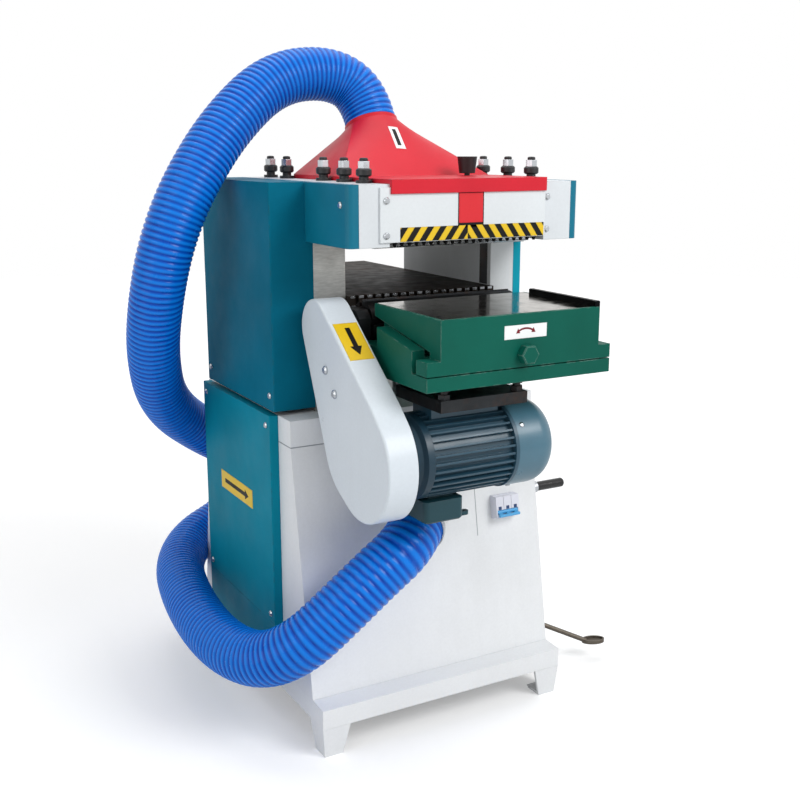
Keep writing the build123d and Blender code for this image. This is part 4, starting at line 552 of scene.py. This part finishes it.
def flat(name, at, plane, shapes, thick, mat, body, lift=0.0):
    """Flat pieces: polygons in a plane's right and up directions, given a thickness outward."""
    right, up = Vector(plane[0]).normalized(), Vector(plane[1]).normalized()
    out = right.cross(up).normalized()
    verts, faces = [], []
    for shape in shapes:
        n, base = len(shape), len(verts)
        for h in (lift, lift + thick):
            verts += [Vector(at) + right * u + up * v + out * h for u, v in shape]
        faces.append(tuple(base + n + k for k in range(n)))
        faces.append(tuple(base + k for k in reversed(range(n))))
        faces += [(base + k, base + (k + 1) % n, base + n + (k + 1) % n, base + n + k)
                  for k in range(n)]
    piece(name, verts, faces, mat, body)


def turned(name, places, profile, mat, body, sides=20):
    """Small turned pieces: an (r, h) profile spun about each place's own axis."""
    verts, faces = [], []
    for at, axis in places:
        axis = Vector(axis).normalized()
        side = axis.orthogonal().normalized()
        other = axis.cross(side)
        base, top = len(verts), len(verts) + (len(profile) - 1) * sides
        for r, h in profile:
            verts += [Vector(at) + axis * h + (side * math.cos(a) + other * math.sin(a)) * r
                      for a in circle(sides)]
        faces += ring_faces(len(profile), sides, base)
        faces.append(tuple(top + k for k in range(sides)))
        faces.append(tuple(base + k for k in reversed(range(sides))))
    piece(name, verts, faces, mat, body)


def corners(node):
    """A node's lowest and highest corners."""
    low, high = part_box(node)
    return low / MM, high / MM


# Shapes of plates and plain signs
ARROW_SHAFT, ARROW_HEAD = 0.42, 0.9
BOW_TIP = 1.5


def box2(u0, v0, u1, v1):
    return [(u0, v0), (u1, v0), (u1, v1), (u0, v1)]


def frame2(u0, v0, u1, v1, w):
    return [box2(u0, v0, u1, v0 + w), box2(u0, v1 - w, u1, v1),
            box2(u0, v0 + w, u0 + w, v1 - w), box2(u1 - w, v0 + w, u1, v1 - w)]


def clip(shape, u0, v0, u1, v1):
    """The part of a polygon inside a rectangle."""
    for axis, limit, keep in ((0, u0, 1), (0, u1, -1), (1, v0, 1), (1, v1, -1)):
        out = []
        for a, b in zip(shape, shape[1:] + shape[:1]):
            da, db = (a[axis] - limit) * keep, (b[axis] - limit) * keep
            if da >= 0:
                out.append(a)
            if (da > 0 > db) or (da < 0 < db):
                t = da / (da - db)
                out.append((a[0] + t * (b[0] - a[0]), a[1] + t * (b[1] - a[1])))
        shape = out
    return shape


def arrow(cx, cy, length, width, turn):
    """A plain arrow round a middle point, turned by some degrees."""
    h, w = length / 2, width / 2
    shaft, neck = w * ARROW_SHAFT, h - width * ARROW_HEAD
    pts = [(-h, -shaft), (neck, -shaft), (neck, -w), (h, 0.0), (neck, w), (neck, shaft), (-h, shaft)]
    c, s = math.cos(math.radians(turn)), math.sin(math.radians(turn))
    return [(cx + x * c - y * s, cy + x * s + y * c) for x, y in pts]


def bow(cx, cy, chord, rise, width, head, steps=14):
    """A plain bowed sign, pointed at both ends, over a middle point."""
    r = (chord * chord / 4 + rise * rise) / (2 * rise)
    half = math.asin(chord / 2 / r)

    def at(a, k):
        return (cx + (r + k) * math.sin(a), cy + (r + k) * math.cos(a) - r)

    turn, w = head / r, width / 2
    ang = [-half + turn + (2 * half - 2 * turn) * i / steps for i in range(steps + 1)]
    shapes = [[at(a, -w), at(b, -w), at(b, w), at(a, w)] for a, b in zip(ang, ang[1:])]
    for side in (-1, 1):
        neck = side * (half - turn)
        tip = [at(side * half, 0.0), at(neck, width * BOW_TIP), at(neck, -width * BOW_TIP)]
        shapes.append(tip[::side])
    return shapes


# Right and up directions of the planes that plates lie in, and how thick plates are
FRONT = ((1, 0, 0), (0, 0, 1))
LEFT = ((0, -1, 0), (0, 0, 1))
CABINET_FRONT = ((1, 0, 0), (0, 0.1605, 0.987))
GUARD_RIM = ((1, 0, 0), (0, 0.7921, 0.6103))
PLATE_T, BAND_T, LINE_T, SIGN_T, SEAM_T = 0.5, 0.4, 0.3, 0.2, 0.15

# The feed, between the columns' inner faces
FEED_LEFT, FEED_RIGHT = corners("left_column")[1].x, corners("right_column")[0].x
FEED_X, FEED_W = (FEED_LEFT + FEED_RIGHT) / 2, FEED_RIGHT - FEED_LEFT

# Hazard stripe along the bottom of the front panel: a black band with yellow bars leaning to its middle
PANEL_LOW, PANEL_HIGH = corners("front_guard_panel")
PANEL_FACE = (0.0, PANEL_LOW.y, 0.0)
STRIPE_LEFT, STRIPE_RIGHT = PANEL_LOW.x + 45.0, PANEL_HIGH.x - 3.5
STRIPE_LOW, STRIPE_HIGH = PANEL_LOW.z + 1.0, PANEL_LOW.z + 29.0
STRIPE_MID = FEED_X - 7.5
BAR_W, BAR_PITCH, BAR_LEAN = 15.0, 30.0, 20.0
BARS = math.ceil((STRIPE_RIGHT - STRIPE_LEFT) / BAR_PITCH)


def hazard_bars():
    """Bars to both sides of the middle, cut off at the band's edges."""
    bars = []
    for k in range(-BARS, BARS + 1):
        u = STRIPE_MID + k * BAR_PITCH
        for side, start, end in ((-1, STRIPE_MID, STRIPE_RIGHT), (1, STRIPE_LEFT, STRIPE_MID)):
            shift = side * BAR_LEAN / 2
            bar = [(u - shift, STRIPE_LOW), (u - shift + BAR_W, STRIPE_LOW),
                   (u + shift + BAR_W, STRIPE_HIGH), (u + shift, STRIPE_HIGH)]
            part = clip(bar, start, STRIPE_LOW, end, STRIPE_HIGH)
            if len(part) > 2:
                bars.append(part)
    return bars


flat("hazard_band", PANEL_FACE, FRONT, [box2(STRIPE_LEFT, STRIPE_LOW, STRIPE_RIGHT, STRIPE_HIGH)], BAND_T,
     INK, "frame")
flat("hazard_bars", PANEL_FACE, FRONT, hazard_bars(), LINE_T, HAZARD, "frame", lift=BAND_T)

# Bare red square on the panel, in a black edge with a bar below it
SQUARE_AT = (FEED_X, PANEL_LOW.y, PANEL_LOW.z + 63.0)
SQUARE = box2(-29, -29, 29, 31)
SQUARE_EDGE = frame2(-31, -38, 31, 33, 2.0) + [box2(-29, -36, 29, -29)]
flat("panel_square", SQUARE_AT, FRONT, [SQUARE], PLATE_T, PLATE_RED, "frame")
flat("panel_square_edge", SQUARE_AT, FRONT, SQUARE_EDGE, BAND_T, INK, "frame")

# Bare plate with a bowed sign on the infeed table's apron
INFEED_LOW, INFEED_HIGH = corners("infeed_table")
INFEED_AT = (FEED_X + 5.5, INFEED_LOW.y, INFEED_HIGH.z - 35.5)
INFEED_PLATE = box2(-50, -13.5, 50, 13.5)
INFEED_BOW = bow(0, 6, chord=46, rise=9, width=3.6, head=9)
flat("infeed_plate", INFEED_AT, FRONT, [INFEED_PLATE], PLATE_T, PLATE_WHITE, "infeed_table")
flat("infeed_arrow", INFEED_AT, FRONT, INFEED_BOW, SIGN_T, SIGN, "infeed_table", lift=PLATE_T)

# Plate with an arrow on the belt guard's sloping rim
GUARD_AT = (-230.5, -388.0, 900.4)
GUARD_PLATE = box2(-25, -50, 29, 50)
GUARD_ARROW = arrow(2, 0, length=74, width=26, turn=-90)
flat("guard_plate", GUARD_AT, GUARD_RIM, [GUARD_PLATE], PLATE_T, HAZARD, "bed")
flat("guard_arrow", GUARD_AT, GUARD_RIM, [GUARD_ARROW], SIGN_T, INK, "bed", lift=PLATE_T)

# Plate with an arrow on the lower side cover, and the apron that carries the cover on down behind the hose
COVER_LOW, COVER_HIGH = corners("lower_side_cover")
COVER_Y, COVER_HALF = (COVER_LOW.y + COVER_HIGH.y) / 2, (COVER_HIGH.y - COVER_LOW.y) / 2
COVER_AT = (COVER_LOW.x, COVER_Y + 3.5, COVER_LOW.z + 261.0)
COVER_PLATE = box2(-100, -22, 100, 22)
COVER_ARROW = arrow(0, 0, length=150, width=24, turn=0)
APRON_AT, APRON_T = (COVER_HIGH.x, COVER_Y, 0.0), COVER_HIGH.x - COVER_LOW.x
APRON = box2(-COVER_HALF, CABINET_Z[0] / MM + 4.0, COVER_HALF, COVER_LOW.z)
flat("cover_plate", COVER_AT, LEFT, [COVER_PLATE], PLATE_T, HAZARD, "frame")
flat("cover_arrow", COVER_AT, LEFT, [COVER_ARROW], SIGN_T, INK, "frame", lift=PLATE_T)
flat("cover_apron", APRON_AT, LEFT, [APRON], APRON_T, TEAL_LOW, "frame")

# Dark strip on the right column's inner face, above the bed
COLUMN_LOW, COLUMN_HIGH = corners("right_column")
DARK_STRIP_AT = (FEED_RIGHT, COLUMN_LOW.y + 29.0, COLUMN_HIGH.z - 60.0)
DARK_STRIP = box2(-16, -58, 16, 58)
flat("dark_strip", DARK_STRIP_AT, LEFT, [DARK_STRIP], BAND_T, DARK, "frame")

# Seam in the cabinet's front, and a line of painted shade along its band's lower edge, for the crease where
# the band meets the face below, on the left as far as the cover
SEAM_AT = (138.0, -282.6, 455.6)
SEAM_STRIP = box2(-0.9, -60, 0.9, 60)
WALL_X, BAND_Y, BAND_Z = CABINET_X / MM, CABINET_Y / MM, CABINET_Z[1] / MM
CREASE_SHADE_H, COVER_GAP = 2.2, 1.0
CREASE_SHADE_FRONT = box2(-WALL_X, 0.0, WALL_X, CREASE_SHADE_H)
CREASE_SHADE_LEFT = box2(COVER_GAP - COVER_LOW.y, 0.0, BAND_Y, CREASE_SHADE_H)
flat("cabinet_seam", SEAM_AT, CABINET_FRONT, [SEAM_STRIP], SEAM_T, SEAM_AND_CREASE_SHADE, "frame")
flat("band_crease_shade", (0.0, -BAND_Y, BAND_Z), FRONT, [CREASE_SHADE_FRONT], LINE_T, SEAM_AND_CREASE_SHADE, "frame")
flat("band_crease_shade_left", (-WALL_X, 0.0, BAND_Z), LEFT, [CREASE_SHADE_LEFT], LINE_T, SEAM_AND_CREASE_SHADE, "frame")

# Windows in the breaker's three poles
WINDOWS_AT = (211.0, -306.14, 460.35)
POLES = (-21.3, 0.0, 21.3)
WINDOW_HALF, WINDOW_LOW, WINDOW_HIGH = 4.2, -6.0, 1.6
WINDOWS = [box2(u - WINDOW_HALF, WINDOW_LOW, u + WINDOW_HALF, WINDOW_HIGH) for u in POLES]
flat("breaker_windows", WINDOWS_AT, CABINET_FRONT, WINDOWS, SIGN_T, WINDOW, "frame")

# Bright edges of the bed lip's teeth, between its slots
BED_LOW, BED_HIGH = corners("bed_table")
LIP_AT = (0.0, BED_LOW.y, BED_HIGH.z)
TEETH = 18
TOOTH_HALF, EDGE_LOW, EDGE_HIGH = 5.7, -5.5, -0.3
TOOTH_X = [FEED_X + (k - (TEETH - 1) / 2) * FEED_W / TEETH for k in range(TEETH)]
LIP_EDGES = [box2(x - TOOTH_HALF, EDGE_LOW, x + TOOTH_HALF, EDGE_HIGH) for x in TOOTH_X]
flat("lip_edges", LIP_AT, FRONT, LIP_EDGES, SIGN_T, STEEL, "bed")

# Plates that follow the hood's curved front: its middle point, and its out, right and up directions
HOOD_AT = Vector((40.0, -83.0, 1297.0))
HOOD_OUT = Vector((0.0, -0.644, 0.765))
HOOD_RIGHT = Vector((9.6, 59.0, 49.7)).normalized().cross(HOOD_OUT).normalized()
HOOD_UP = HOOD_OUT.cross(HOOD_RIGHT).normalized()
HOOD_REACH = 30.0
HOOD_PLATE = (-12.0, -38.0, 12.0, 38.0)
HOOD_BAR = (-5.0, -27.0, 4.0, 29.0)
HOOD_GAP = 0.05
DRAPE_STEP = 3.0
HOOD_MESH = nodes["dust_hood"].data
HOOD_TREE = BVHTree.FromPolygons([v.co.copy() for v in HOOD_MESH.vertices],
                                 [tuple(p.vertices) for p in HOOD_MESH.polygons])


def drape(name, patch, thick, mat, lift):
    """A plate laid on the hood's mesh: each small square's corners drop onto it."""
    u0, v0, u1, v1 = patch
    nu, nv = round((u1 - u0) / DRAPE_STEP), round((v1 - v0) / DRAPE_STEP)
    row, level = nu + 1, (nu + 1) * (nv + 1)
    verts, faces = [], []
    for height in (lift, lift + thick):
        for j in range(nv + 1):
            for i in range(nu + 1):
                p = HOOD_AT + HOOD_RIGHT * (u0 + (u1 - u0) * i / nu) + HOOD_UP * (v0 + (v1 - v0) * j / nv)
                spot = HOOD_TREE.ray_cast((p + HOOD_OUT * HOOD_REACH) * MM, -HOOD_OUT)[0]
                verts.append(spot / MM + HOOD_OUT * height)
    for j in range(nv):
        for i in range(nu):
            a = j * row + i
            faces.append((a + level, a + 1 + level, a + row + 1 + level, a + row + level))
            faces.append((a, a + row, a + row + 1, a + 1))
    ring = list(range(row))
    ring += [j * row + nu for j in range(1, nv + 1)]
    ring += [nv * row + i for i in reversed(range(nu))]
    ring += [j * row for j in reversed(range(1, nv))]
    faces += [(a, b, b + level, a + level) for a, b in zip(ring, ring[1:] + ring[:1])]
    piece(name, verts, faces, mat, "frame")


drape("hood_plate", HOOD_PLATE, PLATE_T, PLATE_WHITE, lift=HOOD_GAP)
drape("hood_bar", HOOD_BAR, SIGN_T, INK, lift=PLATE_T)

# Caps on the adjusters' tips
ADJUSTER_REACH = 205.0
ADJUSTER_Y = (-320.0, -231.0, -131.0, 65.0, 160.0)
CAP_Z = corners("adjuster_screws")[1].z - 4.8
CAPS = [((FEED_X + side * ADJUSTER_REACH, y, CAP_Z), (0, 0, 1)) for side in (-1, 1) for y in ADJUSTER_Y]
CAP = [(8.6, 0.0), (8.6, 4.4), (7.0, 6.2), (3.0, 6.8)]
turned("adjuster_caps", CAPS, CAP, BLACK, "frame")

# Screws round the fan cover, set a little into its skin
FAN_LOW, FAN_HIGH = corners("lower_motor_fan_cover")
FAN_AT = Vector((FAN_LOW.x + 14.5, (FAN_LOW.y + FAN_HIGH.y) / 2, (FAN_LOW.z + FAN_HIGH.z) / 2))
FAN_SCREW_R = (FAN_HIGH.z - FAN_LOW.z) / 2 - 0.1
FAN_ANGLES = (36.0, 76.0, 144.0, 216.0, 288.0)
SCREW = [(5.5, 0.0), (5.5, 1.2), (4.2, 2.6), (1.6, 3.2)]
FAN_SCREWS = []
for angle in FAN_ANGLES:
    out = Vector((0.0, -math.cos(math.radians(angle)), math.sin(math.radians(angle))))
    FAN_SCREWS.append((FAN_AT + out * FAN_SCREW_R, out))
turned("fan_cover_screws", FAN_SCREWS, SCREW, STEEL, "bed")

# Black disc on the terminal box's lug: painted shade standing for a hole
LUG_AT = (-33.5, -500.0, 549.02)
HOLE_SHADE = [(3.6, 0.0), (3.4, 0.15)]
turned("lug_hole_shade", [(LUG_AT, (0, 0, 1))], HOLE_SHADE, INK, "bed")

scene.view_settings.view_transform = "Standard"
